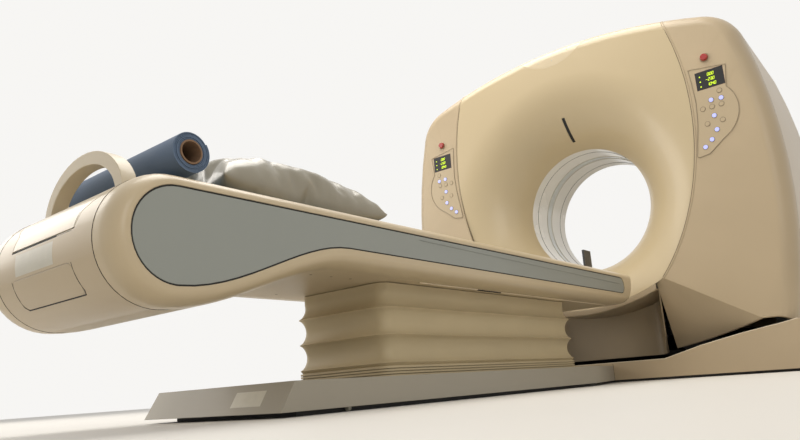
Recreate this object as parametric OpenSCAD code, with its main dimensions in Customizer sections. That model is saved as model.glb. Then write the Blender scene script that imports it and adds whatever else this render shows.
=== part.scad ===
// Hospital CT scanner: a tilting ring gantry on a floor base, with a height-adjustable patient couch.
// The origin is on the floor straight below the centre of the scan plane. +Z is up, the couch lies
// along Y on the -Y side, and +X is the side that is on the right when looking along +Y.

/* [Gantry] */
// Clear diameter of the patient opening
bore_d = 720; // [680:5:740]
// Height of the opening's axis above the floor
axis_z = 984; // [970:2:1000]
// Depth of the gantry from front to back
gantry_d = 960; // [940:5:980]
// Half width of the covers at their widest
gantry_half_w = 1075; // [1060:5:1090]
// Height of the covers' crown
crown_z = 1928; // [1900:2:1950]
// Radius of the arched top edge
crown_r = 2690; // [2500:10:3000]
// Radius of the bowed flanks
flank_r = 2930; // [2700:10:3200]
// Height at which the flanks are widest
flank_z = 915; // [880:5:950]
// Radius of the upper corners
corner_r = 235; // [200:5:260]
// Wall of the moulded covers
cover_t = 6; // [4:0.5:7]
// Joint between two neighbouring covers
seam = 0.6; // [0.4:0.1:0.8]
// Radius of the bell mouth's curve
bell_r = 420; // [400:5:430]
// Radius at which the bell mouth meets the flat front
bell_outer_r = 748; // [735:1:755]
// Half width of the dished front cover
dish_a = 705; // [695:1:715]
// Half height of the dished front cover
dish_b = 1068; // [1050:2:1080]
// Height of the dished cover's widest line
dish_z = 1330; // [1310:5:1350]
// Width of the rounding along the covers' outer edges
edge_w = 74; // [60:2:80]
// Depth of the rounding along the covers' outer edges
edge_d = 96; // [80:2:110]
// Tilt of the gantry to either side, in degrees
tilt_deg = 30; // [20:1:30]
// Half width of the stands' narrow ankle, which the tilting covers pass
ankle_half = 26; // [20:1:32]
// Clearance between the ankle and the tilting covers
ankle_gap = 14; // [10:0.5:18]
// Clearance between the tilting covers and the base
sweep_gap = 13; // [10:1:16]

/* [Lower front] */
// Half width of the recess that clears the couch
recess_half_w = 398; // [390:2:410]
// Depth of the recess's back wall behind the scan plane's front
recess_y = 195; // [185:1:205]
// Height of the recess's top seam at the middle
recess_seam_z = 386; // [380:1:392]
// Radius of the recess's top seam
recess_arc_r = 960; // [945:5:975]
// Height of the rolled lip below that seam
recess_lip = 30; // [20:1:34]

/* [Ring and frame] */
// Running gap between the tilting frame's rim and everything that rotates
rotor_gap = 45; // [40:1:50]
// Outer radius of the main bearing's inner ring
bearing_r = 520; // [505:1:530]
// Radial width of that ring
bearing_w = 50; // [40:1:55]
// Running clearance in the main bearing
bearing_gap = 0.4; // [0.3:0.05:0.5]
// Thickness of the rotating drum's plate
drum_t = 30; // [24:1:34]
// Gap between the stands and the tilting frame's ring
frame_gap = 35; // [30:1:40]
// Thickness of the tilting frame's ring
frame_t = 80; // [70:2:90]
// Outer radius of the X-ray tube's housing
tube_r = 108; // [100:1:112]
// Radius of the two trunnions
trunnion_r = 60; // [50:1:70]
// Radial clearance of the trunnions in their bearings
trunnion_gap = 0.05; // [0.03:0.01:0.09]
// Distance from the covers' widest point in to the stands' inner faces
stand_inset = 240; // [230:1:250]
// Width of each stand
stand_w = 90; // [80:2:100]

/* [Gantry base] */
// Half width of the base cover
base_half_w = 1015; // [1005:1:1025]
// Height of the base cover's front at the middle
base_mid_h = 98; // [92:1:104]
// Height of the base cover's front at the outer ends
base_end_h = 232; // [226:1:236]
// Thickness of the steel base plate
plate_t = 45; // [36:1:50]
// Shadow gap between the covers and the floor
floor_gap = 12; // [8:1:14]
// Radius of the floor anchor holes
anchor_r = 11; // [9:0.5:13]

/* [Couch] */
// Half width of the couch over its side covers
couch_half_w = 310; // [304:1:316]
// Height of the couch's top edge
couch_top_z = 532; // [528:1:538]
// Height of the straight underside
couch_under_z = 374; // [370:1:378]
// Gantry end of the couch
couch_front_y = -540; // [-550:1:-534]
// Centre of the foot end's bulb along the couch
bulb_y = -3130; // [-3150:2:-3110]
// Radius of the foot end's bulb
bulb_r = 143.5; // [140:0.5:146]
// Width of each side cover
side_w = 80; // [76:1:84]
// How far the rounding of a side cover reaches across the couch
side_edge_x = 56; // [48:1:60]
// How far the rounding of a side cover reaches up and down
side_edge_z = 30; // [28:0.5:33]
// Depth of the coloured inlay's pocket
inlay_t = 5; // [4:0.5:7]
// Width of the shadow groove around the inlay
inlay_groove = 4; // [3:0.5:6]
// Half width of the tabletop
top_half_w = 226; // [220:1:227]
// Thickness of the tabletop
top_t = 28; // [24:1:32]
// Thickness of the mattress
mattress_t = 25; // [20:1:28]

/* [Couch lift] */
// Furthest the couch goes down from the modelled height
lift_down = 150; // [120:5:155]
// Furthest the couch goes up from the modelled height
lift_up = 330; // [280:5:340]
// Side of the fixed lifting column
column_w = 260; // [240:2:270]
// Wall of the lifting columns
column_t = 12; // [10:0.5:14]
// Sliding gap between one column and the next
column_gap = 0.4; // [0.3:0.05:0.6]
// Half width of the bellows
bellows_half_w = 208; // [200:1:216]
// Half width of the couch's base
couch_base_half_w = 288; // [280:1:296]
// Height of the couch's base
couch_base_h = 84; // [80:1:88]
// Height of the collapsed lower folds of the bellows
stack_h = 34; // [30:1:38]
// Depth of each open fold
pleat_d = 24; // [16:1:26]
// Wall of the bellows
bellows_wall = 10; // [6:1:14]

/* [Things on the couch] */
// Outer radius of the paper roll
roll_r = 50; // [44:1:52]
// Length of the paper roll
roll_l = 500; // [460:5:520]
// Outer radius of the roll's cardboard core
core_r = 29; // [25:0.5:31]
// Width of the pillow
pillow_w = 400; // [360:5:420]
// Length of the pillow
pillow_l = 630; // [580:5:660]
// Height of the pillow
pillow_h = 120; // [100:2:130]
// Half width of the hoop handle
hoop_half_w = 187; // [180:1:192]
// Height of the hoop handle
hoop_h = 108; // [100:1:114]
// Radial width of the hoop handle
hoop_w = 32; // [28:1:38]

/* [Controls] */
// Height of the displays' centre
display_z = 1434; // [1424:1:1444]
// Distance of the displays from the middle
display_x = 815; // [805:1:825]
// Radius of the stop buttons' heads
stop_r = 19; // [16:0.5:22]
// Height of the stop buttons
stop_z = 1549; // [1540:1:1560]
// Radius of a key's cap
key_r = 10.5; // [9:0.5:12]
// Travel of a key
key_travel = 2; // [1:0.25:3]

/* [Hidden] */

cover_c = "#d9cfb4";
panel_c = "#cfc4a6";
base_c = "#8d8a80";
inlay_c = "#8d9a9c";
steel_c = "#8a8f94";
dark_c = "#26282b";
black_c = "#151618";
paper_c = "#5f86c4";

bore_r = bore_d / 2;
front_y = gantry_d / 2;
throat_y = front_y - bell_r + sqrt(pow(bell_r, 2) - pow(bell_outer_r - bore_r, 2));
seam_y = front_y - edge_d;
stand_x = gantry_half_w - stand_inset;
frame_r = stand_x - frame_gap;
rotor_r = frame_r - rotor_gap;
// The tilting covers end on a cylinder about the tilt axis, which lets them pass the ankles at full tilt.
sweep_in = front_y - cover_t;
sweep_deep = (sweep_in * cos(tilt_deg) - ankle_half - ankle_gap) / sin(tilt_deg);
sweep_r = norm([sweep_in, sweep_deep]);
recess_arc_z = recess_seam_z + recess_arc_r;
recess_roof_r = recess_arc_r + recess_lip;
recess_corner_z = recess_arc_z - sqrt(pow(recess_arc_r, 2) - pow(recess_half_w, 2));
frame_y = 70;
frame_back_y = frame_y + frame_t;
post_r = 14;
post_ring_r = frame_r - post_r - 4;
big = 3000;

// Where the lower front slants back: the crease runs from its outer end up to its inner end.
crease_outer = [850, 246];
crease_inner = [398, 520];
crease_slant = 32;
crease_run = crease_outer[0] - crease_inner[0];
crease_rise = crease_inner[1] - crease_outer[1];
crease_deg = atan2(crease_rise, crease_run);
crease_l = norm([crease_run, crease_rise]);

function smooth(t) = let (c = min(max(t, 0), 1)) c * c * (3 - 2 * c);
function arc(cx, cy, r, a0, a1, n) = [for (i = [0:n]) let (a = a0 + (a1 - a0) * i / n) [cx + r * cos(a), cy + r * sin(a)]];
function mirror_x(points) = [for (i = [len(points) - 1:-1:0]) [-points[i][0], points[i][1]]];

// Stands a 2D shape drawn in X and Z upright, from y0 to y1.
module upright(y0, y1) {
    translate([0, y1, 0]) rotate([90, 0, 0]) linear_extrude(y1 - y0) children();
}

// Stands a 2D shape drawn in Y and Z upright, from x0 to x1.
module lengthwise(x0, x1) {
    translate([x0, 0, 0]) rotate([90, 0, 90]) linear_extrude(x1 - x0) children();
}

module mirrored() {
    children();
    mirror([1, 0, 0]) children();
}

// Centre of the rounded upper corner: it touches the crown's arc and the flank's arc.
crown_c_z = crown_z - crown_r;
flank_c_x = gantry_half_w - 8 - flank_r;
corner_gap = norm([flank_c_x, flank_z - crown_c_z]);
corner_along = (pow(crown_r - corner_r, 2) - pow(flank_r - corner_r, 2) + pow(corner_gap, 2)) / (2 * corner_gap);
corner_off = sqrt(pow(crown_r - corner_r, 2) - pow(corner_along, 2));
corner_ux = flank_c_x / corner_gap;
corner_uz = (flank_z - crown_c_z) / corner_gap;
corner_x = corner_along * corner_ux + corner_off * corner_uz;
corner_z = crown_c_z + corner_along * corner_uz - corner_off * corner_ux;
crown_end = atan2(corner_z - crown_c_z, corner_x);
flank_end = atan2(corner_z - flank_z, corner_x - flank_c_x);
flank_low = asin((0 - flank_z) / flank_r);

// Right half of the gantry's outline, moved inwards by inset, from the crown down to the floor.
function outline_half(inset) = concat(
    arc(0, crown_c_z, crown_r - inset, 90, crown_end, 10),
    [for (i = [1:8]) let (a = crown_end + (flank_end - crown_end) * i / 9)
        [corner_x + (corner_r - inset) * cos(a), corner_z + (corner_r - inset) * sin(a)]],
    arc(flank_c_x, flank_z, flank_r - inset, flank_end, flank_low, 10));

function outline(inset) = let (h = outline_half(inset))
    concat(h, [for (i = [len(h) - 1:-1:1]) [-h[i][0], h[i][1]]]);

// Ring k of the gantry's rounded block, with its depth and its inset; 0 is the front.
edge_steps = 6;
function edge_ring(k, t) = let (
    back = k > edge_steps,
    a = 90 * (back ? 2 * edge_steps + 1 - k : k) / edge_steps,
    y = front_y - t - edge_d * (1 - cos(a)))
    [for (p = outline(t + edge_w * (1 - sin(a)))) [p[0], back ? y : -y, p[1]]];

// The gantry's rounded block, moved inwards by t on all sides.
module gantry_block(t) {
    rings = [for (k = [0:2 * edge_steps + 1]) edge_ring(k, t)];
    n = len(rings[0]);
    m = len(rings);
    polyhedron(
        points = [for (ring = rings) for (p = ring) p],
        faces = concat(
            [[for (i = [0:n - 1]) i]],
            [[for (i = [n - 1:-1:0]) (m - 1) * n + i]],
            [for (k = [0:m - 2]) for (i = [0:n - 1])
                [k * n + i, (k + 1) * n + i, (k + 1) * n + (i + 1) % n, k * n + (i + 1) % n]]),
        convexity = 4);
}

// Cuts the lower front corners back along the slanted crease.
module slant_cut(inset) {
    for (sx = [0, 1])
        mirror([sx, 0, 0])
            translate([crease_outer[0], -front_y + inset, crease_outer[1]])
                rotate([0, crease_deg, 0]) rotate([crease_slant, 0, 0])
                    translate([-crease_l - 20, -600, -900]) cube([crease_l + 620, 600, 900]);
}

module below_sweep(r) {
    difference() {
        translate([-big / 2, -big / 2, -big / 2]) cube([big, big, big / 2 + axis_z - 600]);
        translate([-big / 2, 0, axis_z]) rotate([0, 90, 0]) cylinder(r = r, h = big, $fn = 180);
    }
}

module gantry_shell(slanted = true) {
    difference() {
        gantry_block(0);
        difference() {
            gantry_block(cover_t);
            if (slanted) slant_cut(cover_t);
        }
        if (slanted) slant_cut(0);
        below_sweep(sweep_r);
    }
}

// Outline of the dished front cover, moved outwards by grow.
module dish_outline(grow = 0) {
    difference() {
        polygon([for (a = [0:5:355]) [(dish_a + grow) * cos(a), dish_z + (dish_b + grow) * sin(a)]]);
        translate([-big / 2, -big]) square([big, big + recess_arc_z - dish_b]);
        translate([0, recess_arc_z]) difference() {
            translate([-big / 2, -big]) square([big, big]);
            circle(recess_arc_r + grow, $fn = 180);
        }
    }
}

// Section of the bell mouth's skin, from t0 to t1 behind its surface: radius across, depth up.
module bell_skin(t0, t1, r_out) {
    rotate_extrude($fn = 144) {
        intersection() {
            translate([bell_outer_r, -front_y + bell_r]) difference() {
                circle(bell_r - t0, $fn = 360);
                circle(bell_r - t1, $fn = 360);
            }
            translate([bore_r, -front_y]) square([bell_outer_r - bore_r, front_y - throat_y]);
        }
        translate([bell_outer_r - 0.1, -front_y + t0]) square([r_out - bell_outer_r + 0.1, t1 - t0]);
    }
}

module at_axis() {
    translate([0, 0, axis_z]) children();
}

// Bell mouth skin with its axis along Y, opening to the front.
module front_bell(t0, t1, r_out) {
    at_axis() rotate([-90, 0, 0]) bell_skin(t0, t1, r_out);
}

// Covers of the gantry

badge_r = 266;
badge_z = 2071;
slit_w = 17;
slit_r0 = 400;
slit_r1 = 518;

module slit_block(w) {
    at_axis() translate([-w / 2, -front_y - 5, slit_r0 - (w - slit_w) / 2])
        cube([w, front_y - throat_y + 60, slit_r1 - slit_r0 + w - slit_w]);
}

// The whole front skin, with the bell mouth, before it is divided into panels.
module front_skin(t0 = 0, slanted = true) {
    intersection() {
        front_bell(t0, cover_t, bell_outer_r + 1);
        gantry_block(0);
    }
    difference() {
        gantry_shell(slanted);
        translate([-big / 2, -seam_y, -100]) cube([big, big, big]);
        at_axis() rotate([90, 0, 0]) cylinder(r = bell_outer_r, h = 700, $fn = 144);
        if (t0 > 0) translate([-big / 2, -front_y - 1, 0]) cube([big, 1 + t0, big]);
    }
}

module dish_cover() {
    color(cover_c) difference() {
        intersection() {
            front_skin(0, false);
            upright(-front_y - 1, 0) dish_outline(0);
        }
        upright(-front_y - 5, 0) translate([0, badge_z]) circle(badge_r + 1, $fn = 144);
        slit_block(slit_w + 2 * seam);
    }
}

module badge_panel() {
    color(panel_c) intersection() {
        front_skin(0.5);
        upright(-front_y - 1, 0) intersection() {
            translate([0, badge_z]) circle(badge_r + 1 - seam, $fn = 144);
            dish_outline(0);
        }
    }
}

module laser_window() {
    color(black_c) intersection() {
        front_bell(1, cover_t - 1, 1300);
        slit_block(slit_w);
    }
}

// D-shaped outline of a control panel, for the +X side.
module control_outline(grow = 0) {
    offset(delta = grow)
        polygon(concat(
            [[722, 1509], [895, 1482]],
            arc(754, 1264, 166, 40, -62, 12),
            [[757, 1057], [704, 1050], [698, 1060]],
            [[725, 1218], [734, 1326], [729, 1426]]));
}

module panel_region() {
    upright(-front_y - 1, -seam_y)
        difference() {
            translate([seam / 2, -600]) square([big / 2, big]);
            dish_outline(seam);
            translate([0, crown_z - 40]) square([40, 100]);
            translate([0, -600]) square([recess_half_w + seam, 600 + recess_corner_z]);
        }
}

// The slanted underside of the lower corner, a part of the front panel.
module underside_region() {
    intersection() {
        slant_cut(cover_t);
        difference() {
            translate([recess_half_w + seam, -front_y, 0]) cube([big, front_y - 10, 600]);
            upright(-front_y - 1, 0) dish_outline(seam);
        }
    }
}

module right_front_shape() {
    difference() {
        intersection() {
            gantry_shell();
            union() {
                panel_region();
                underside_region();
            }
        }
        upright(-front_y - 1, -front_y + cover_t + 1) control_outline(seam);
        translate([stop_x, -front_y - 1, stop_z]) rotate([-90, 0, 0]) cylinder(r = 8.5, h = 40, $fn = 32);
    }
}

module right_front_panel() {
    color(panel_c) right_front_shape();
}

module left_front_panel() {
    color(panel_c) mirror([1, 0, 0]) right_front_shape();
}

// Plan of the recess in the lower front, drawn in X and Y.
function recess_plan(grow) = let (
    w = recess_half_w + grow,
    y0 = -front_y - 20,
    y1 = -recess_y + grow,
    r = 70)
    concat(
        [[w, y0], [w, -front_y + 40]],
        arc(w - 60 - r, y1 - r, r, 0, 90, 6));

module recess_prism(grow, z0, z1) {
    half = recess_plan(grow);
    translate([0, 0, z0]) linear_extrude(z1 - z0) polygon(concat(half, mirror_x(half)));
}

module recess_void(grow) {
    difference() {
        recess_prism(grow, 0, 700);
        translate([0, 0, recess_arc_z]) rotate([90, 0, 0])
            cylinder(r = recess_roof_r - grow, h = big, center = true, $fn = 240);
    }
}

module lip_region() {
    intersection() {
        translate([-recess_half_w, recess_arc_z - recess_roof_r]) square([2 * recess_half_w, 140]);
        translate([0, recess_arc_z]) difference() {
            circle(recess_roof_r, $fn = 180);
            circle(recess_arc_r + seam, $fn = 180);
        }
    }
}

module lower_front_panel() {
    color(panel_c) difference() {
        union() {
            intersection() {
                recess_void(cover_t);
                gantry_block(0);
                upright(-front_y - 1, 0) translate([-recess_half_w, -600]) square([2 * recess_half_w, 600 + recess_corner_z - 1]);
                behind_skin();
            }
            intersection() {
                front_skin(0, false);
                upright(-front_y - 1, 0) lip_region();
            }
        }
        recess_void(0);
        upright(-front_y - 1, 0) dish_outline(seam);
        below_sweep(sweep_r);
    }
}

// The space behind the outer surface of the bell mouth.
module behind_skin() {
    difference() {
        translate([-big / 2, -front_y, -100]) cube([big, big, big]);
        at_axis() rotate([90, 0, 0]) cylinder(r = axis_z - recess_seam_z, h = 700, $fn = 144);
    }
}

module side_cover_shape() {
    difference() {
        intersection() {
            gantry_shell();
            translate([seam / 2, -seam_y + seam, -600]) cube([big, 2 * seam_y - 2 * seam, big]);
        }
        slant_cut(cover_t + seam);
    }
}

module right_side_cover() {
    color(cover_c) side_cover_shape();
}

module left_side_cover() {
    color(cover_c) mirror([1, 0, 0]) side_cover_shape();
}

module rear_cover() {
    color(cover_c) mirror([0, 1, 0]) front_skin(0, false);
}

// Bore

window_half = 24;

module bore_liner() {
    color("#e8e2d0") at_axis() rotate([90, 0, 0]) difference() {
        cylinder(r = bore_r + 8, h = 2 * throat_y - 0.6, center = true, $fn = 144);
        cylinder(r = bore_r, h = 2 * throat_y + 10, center = true, $fn = 144);
        cylinder(r = bore_r + 3, h = 2 * window_half, center = true, $fn = 144);
    }
}

module scan_window() {
    color("#cfd6d6") at_axis() rotate([90, 0, 0]) difference() {
        cylinder(r = bore_r + 2.8, h = 2 * window_half - 0.6, center = true, $fn = 144);
        cylinder(r = bore_r + 0.4, h = 2 * throat_y, center = true, $fn = 144);
    }
}

// Rotating ring

module ring(r0, r1, y0, y1, n = 120) {
    translate([0, y1, axis_z]) rotate([90, 0, 0]) difference() {
        cylinder(r = r1, h = y1 - y0, $fn = n);
        translate([0, 0, -1]) cylinder(r = r0, h = y1 - y0 + 2, $fn = n);
    }
}

drum_y = frame_y - 10 - drum_t;
tube_place = rotor_r - tube_r - 24;

module rotor_drum() {
    color(steel_c) union() {
        difference() {
            ring(bearing_r - bearing_w, rotor_r, drum_y, drum_y + drum_t);
            for (a = [30:60:330])
                at_axis() rotate([0, a, 0]) translate([0, 0, (rotor_r + bearing_r) / 2]) rotate([90, 0, 0])
                    cylinder(r = 42, h = 400, center = true, $fn = 40);
        }
        ring(bearing_r - bearing_w, bearing_r, drum_y + drum_t - 1, frame_back_y + 2);
        ring(rotor_r - 12, rotor_r, -140, drum_y + 1);
    }
}

module xray_tube() {
    color("#b9b3a2") at_axis() union() {
        translate([0, drum_y, tube_place]) rotate([90, 0, 0]) cylinder(r = tube_r, h = 150, $fn = 64);
        translate([-70, drum_y - 120, tube_place - tube_r - 40]) cube([140, 110, 60]);
    }
}

module detector() {
    color("#3f4650") difference() {
        ring(rotor_r - 170, rotor_r - 65, -70, drum_y);
        for (s = [0, 1]) mirror([s, 0, 0])
            at_axis() rotate([0, 28, 0]) translate([-big, -big / 2, -big]) cube([big, big, 2 * big]);
        translate([-big / 2, -big / 2, axis_z]) cube([big, big, big]);
    }
}

module slip_ring() {
    color("#b08b4f") ring(bearing_r - bearing_w - 60, bearing_r - 20, frame_back_y + 2, frame_back_y + 40);
}

// Tilting frame

module tilt_frame() {
    color(steel_c) difference() {
        union() {
            ring(bearing_r + bearing_gap, frame_r, frame_y, frame_back_y);
            // conical rear carrier of the bore liner
            ring(bore_r + 8.3, 620, frame_back_y + 52, frame_back_y + 60);
            for (a = [22.5:45:337.5])
                at_axis() rotate([0, a, 0]) translate([0, frame_back_y - 1, 590]) rotate([-90, 0, 0])
                    cylinder(r = 16, h = 54, $fn = 32);
            // posts that carry the front and rear covers
            for (a = [60, 120, 240, 300])
                at_axis() rotate([0, a, 0]) translate([0, -front_y + cover_t + 0.3, post_ring_r]) rotate([-90, 0, 0])
                    cylinder(r = post_r, h = gantry_d - 2 * cover_t - 0.6, $fn = 32);
            // trunnion hubs
            mirrored() {
                translate([frame_r - 60, -110, axis_z - 110]) cube([stand_x - 5 - frame_r + 60, 110 + frame_back_y, 220]);
                translate([frame_r - 40, 0, axis_z]) rotate([0, 90, 0])
                    cylinder(r = trunnion_r, h = stand_x + stand_w + 10 - frame_r + 40, $fn = 96);
            }
        }
        // room for the rotating ring
        translate([0, frame_y, axis_z]) rotate([90, 0, 0]) cylinder(r = rotor_r + 6, h = 400, $fn = 120);
    }
}

// Fixed base

module stand_profile() {
    polygon([
        [-220, 0], [220, 0], [220, 22], [ankle_half, 50],
        [ankle_half, 84],
        [135, 290], [135, axis_z - plate_t], [-135, axis_z - plate_t],
        [-135, 290], [-ankle_half, 84],
        [-ankle_half, 50], [-220, 22]]);
}

module stand_shape() {
    difference() {
        union() {
            translate([0, 0, plate_t]) lengthwise(stand_x, stand_x + stand_w) stand_profile();
            translate([stand_x, 0, axis_z]) rotate([0, 90, 0]) cylinder(r = 135, h = stand_w, $fn = 96);
        }
        translate([stand_x - 1, 0, axis_z]) rotate([0, 90, 0])
            cylinder(r = trunnion_r + trunnion_gap, h = stand_w + 2, $fn = 96);
    }
}

module right_stand() {
    color(steel_c) stand_shape();
}

module left_stand() {
    color(steel_c) mirror([1, 0, 0]) stand_shape();
}

base_front_y = front_y + 3;
plate_half_x = base_half_w - 55;
plate_half_y = base_front_y - 43;
anchor_x = plate_half_x - 60;
anchor_y = plate_half_y - 60;

module gantry_base() {
    color("#3a3c40") difference() {
        translate([-plate_half_x, -plate_half_y, 0]) cube([2 * plate_half_x, 2 * plate_half_y, plate_t]);
        for (sx = [-1, 1], sy = [-1, 1])
            translate([sx * anchor_x, sy * anchor_y, -1]) cylinder(r = anchor_r, h = plate_t + 2, $fn = 48);
        // weight-saving cut-outs
        for (sx = [-1, 1])
            translate([sx * (plate_half_x - 540) - 300, 140 - plate_half_y, -1])
                cube([600, 2 * plate_half_y - 280, plate_t + 2]);
    }
}

base_rise = base_end_h - base_mid_h;
base_top_line = [
    [base_half_w, base_end_h], [base_half_w - 85, base_mid_h + 0.87 * base_rise],
    [base_half_w - 255, base_mid_h + 0.66 * base_rise], [base_half_w - 442, base_mid_h + 0.37 * base_rise],
    [recess_half_w - 6, base_mid_h]];

module base_cover_outline() {
    polygon([
        [-base_half_w, floor_gap], [base_half_w, floor_gap],
        for (p = base_top_line) p, for (p = mirror_x(base_top_line)) p]);
}

module gantry_base_cover() {
    color(base_c) difference() {
        union() {
            difference() {
                upright(-base_front_y, base_front_y) base_cover_outline();
                translate([-base_half_w + cover_t, -base_front_y + cover_t, 0])
                    cube([2 * base_half_w - 2 * cover_t, 2 * base_front_y - 2 * cover_t, big]);
            }
            // inner ribs that rest against the base plate
            for (sx = [-1, 1], k = [100, 500, plate_half_x - 80], sy = [0, 1])
                mirror([0, sy, 0])
                    translate([sx * k - 3, -base_front_y + 1, floor_gap])
                        cube([6, base_front_y - plate_half_y - 1, 30]);
        }
        translate([-big / 2, 0, axis_z]) rotate([0, 90, 0]) cylinder(r = sweep_r + sweep_gap, h = big, $fn = 180);
    }
}

// Couch base and lift

couch_base_foot_y = -2850;
couch_base_front_y = -1070;
link_half_w = 127;
column_y = [-2020, -1400];

function couch_base_plan(grow) = [
    [-couch_base_half_w - grow, couch_base_foot_y - 20], [couch_base_half_w + grow, couch_base_foot_y - 20],
    [couch_base_half_w + grow, couch_base_front_y], [link_half_w + grow, -base_front_y - 0.3],
    [-link_half_w - grow, -base_front_y - 0.3], [-couch_base_half_w - grow, couch_base_front_y]];

module couch_base_plate() {
    color("#3a3c40") difference() {
        translate([-250, couch_base_foot_y + 80, 0]) cube([500, -couch_base_foot_y - 80 - 1000, 30]);
        for (sx = [-1, 1], y = [couch_base_foot_y + 130, -1050])
            translate([sx * 215, y, -1]) cylinder(r = anchor_r, h = 32, $fn = 48);
    }
}

function couch_base_side(t) = [
    [couch_base_foot_y + t, -1], [couch_base_foot_y + t, floor_gap + t], [couch_base_foot_y + 46 + t, couch_base_h - t],
    [0, couch_base_h - t], [0, -1]];

module couch_base_form(t, z0) {
    intersection() {
        translate([0, 0, z0]) linear_extrude(couch_base_h - t - z0) polygon(couch_base_plan(-t));
        lengthwise(-400, 400) polygon(couch_base_side(t));
    }
}

module couch_base_cover() {
    color(base_c) union() {
        difference() {
            couch_base_form(0, floor_gap);
            couch_base_form(cover_t, -1);
            translate([-bellows_half_w + 20, bellows_y0 + 20, 0])
                cube([2 * bellows_half_w - 40, bellows_y1 - bellows_y0 - 40, 200]);
        }
        // the two inner rails that rest on the steel plate
        for (sx = [-1, 1])
            translate([sx * 215 - 10, couch_base_foot_y + 90, 30]) cube([20, 1600, couch_base_h - 34]);
    }
}

column_h = 213;
column_base_z = 30;

// Square tube number k of a lifting column, at the modelled height of the couch.
module column_tubes(k, z0, z1) {
    w = column_w - 2 * k * (column_t + column_gap);
    for (y = column_y)
        translate([-w / 2, y - w / 2, z0])
            difference() {
                cube([w, w, z1 - z0]);
                translate([column_t, column_t, -1]) cube([w - 2 * column_t, w - 2 * column_t, z1 - z0 + 2]);
            }
}

module lift_outer_columns() {
    color("#c8c8c4") column_tubes(0, column_base_z, column_base_z + column_h);
}

module lift_stage_one() {
    color("#c8c8c4") column_tubes(1, column_base_z + 4 + lift_down / 3, column_base_z + 2 + column_h + lift_down / 3);
}

module lift_stage_two() {
    color("#c8c8c4")
        column_tubes(2, column_base_z + 8 + 2 * lift_down / 3, column_base_z + 4 + column_h + 2 * lift_down / 3);
}

bellows_y0 = -2362;
bellows_y1 = -1060;
bellows_corner = 60;
pleat_n = 3;
fold_steps = 6;

// Plan of the bellows, moved inwards by inset: a rectangle with rounded corners.
function bellows_plan(inset) = [
    for (q = [0:3], i = [0:8]) let (
        a = 90 * q + 90 * i / 8,
        r = bellows_corner,
        sx = q == 0 || q == 3 ? 1 : -1,
        y = q < 2 ? bellows_y1 - r : bellows_y0 + r)
        [sx * (bellows_half_w - r) + (r - inset) * cos(a), y + (r - inset) * sin(a)]];

module bellows_ring(z, h, inset) {
    translate([0, 0, z]) linear_extrude(h) polygon(bellows_plan(inset));
}

// The open folds: sharp ridges that point outwards, with a hollow curve between one and the next.
module open_folds(z0, z1) {
    h = (z1 + 5 - z0) / pleat_n;
    top = pleat_d * sin(180 * ((z1 - z0) / h - pleat_n + 1));
    rings = concat(
        [[z0 - 9, pleat_d - 6]],
        [for (k = [0:pleat_n - 1], i = [0:fold_steps - 1])
            [z0 + (k + i / fold_steps) * h, pleat_d * sin(180 * i / fold_steps)]],
        [[z1, top]]);
    n = len(bellows_plan(0));
    m = len(rings);
    polyhedron(
        points = [for (ring = rings) for (p = bellows_plan(ring[1])) [p[0], p[1], ring[0]]],
        faces = concat(
            [[for (i = [0:n - 1]) i]],
            [[for (i = [n - 1:-1:0]) (m - 1) * n + i]],
            [for (k = [0:m - 2]) for (i = [0:n - 1])
                [k * n + i, (k + 1) * n + i, (k + 1) * n + (i + 1) % n, k * n + (i + 1) % n]]),
        convexity = 8);
}

module bellows() {
    z0 = couch_base_h + stack_h;
    color("#d5cbb2") difference() {
        union() {
            for (k = [0:3]) bellows_ring(couch_base_h + k * stack_h / 4, stack_h / 4 - 2.5, 2 + k);
            bellows_ring(couch_base_h, stack_h, 16);
            open_folds(z0 + 8, couch_under_z - 1);
        }
        translate([0, 0, couch_base_h - 1]) linear_extrude(400) polygon(bellows_plan(pleat_d + bellows_wall));
    }
}

// Couch body

inner_x = couch_half_w - side_w;
bulb_z = couch_top_z - bulb_r;
bulb_low_z = bulb_z - bulb_r;
under_blend_y = -2600;

nose_r = 121;

// Side profile of the couch in Y and Z, moved inwards by inset.
function couch_profile(inset) = let (
    r = bulb_r - inset,
    nose = nose_r - inset)
    concat(
        [for (i = [0:16]) let (t = i / 16, y = bulb_y + (under_blend_y - bulb_y) * t)
            [y, bulb_low_z + inset + (couch_under_z - bulb_low_z) * smooth(t)]],
        arc(couch_front_y - nose_r, couch_under_z + nose_r, nose, -90, 0, 6),
        [[couch_front_y - inset, couch_top_z - inset]],
        arc(bulb_y, bulb_z, r, 90, 264, 24));

// Outline of the coloured inlay in Y and Z.
inlay_r = 104;
inlay_top_z = 495;
inlay_low_z = 424;
inlay_end_y = -700;

function inlay_profile(grow) = let (
    cy = -3128,
    cz = inlay_top_z - inlay_r,
    low = cz - inlay_r)
    concat(
        [for (i = [0:14]) let (t = i / 14, y = cy + (-2610 - cy) * t)
            [y, low - grow + (inlay_low_z - low) * smooth(t)]],
        arc(inlay_end_y, (inlay_top_z + inlay_low_z) / 2, (inlay_top_z - inlay_low_z) / 2 + grow, -90, 90, 10),
        arc(cy, cz, inlay_r + grow, 90, 266, 22));

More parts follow.
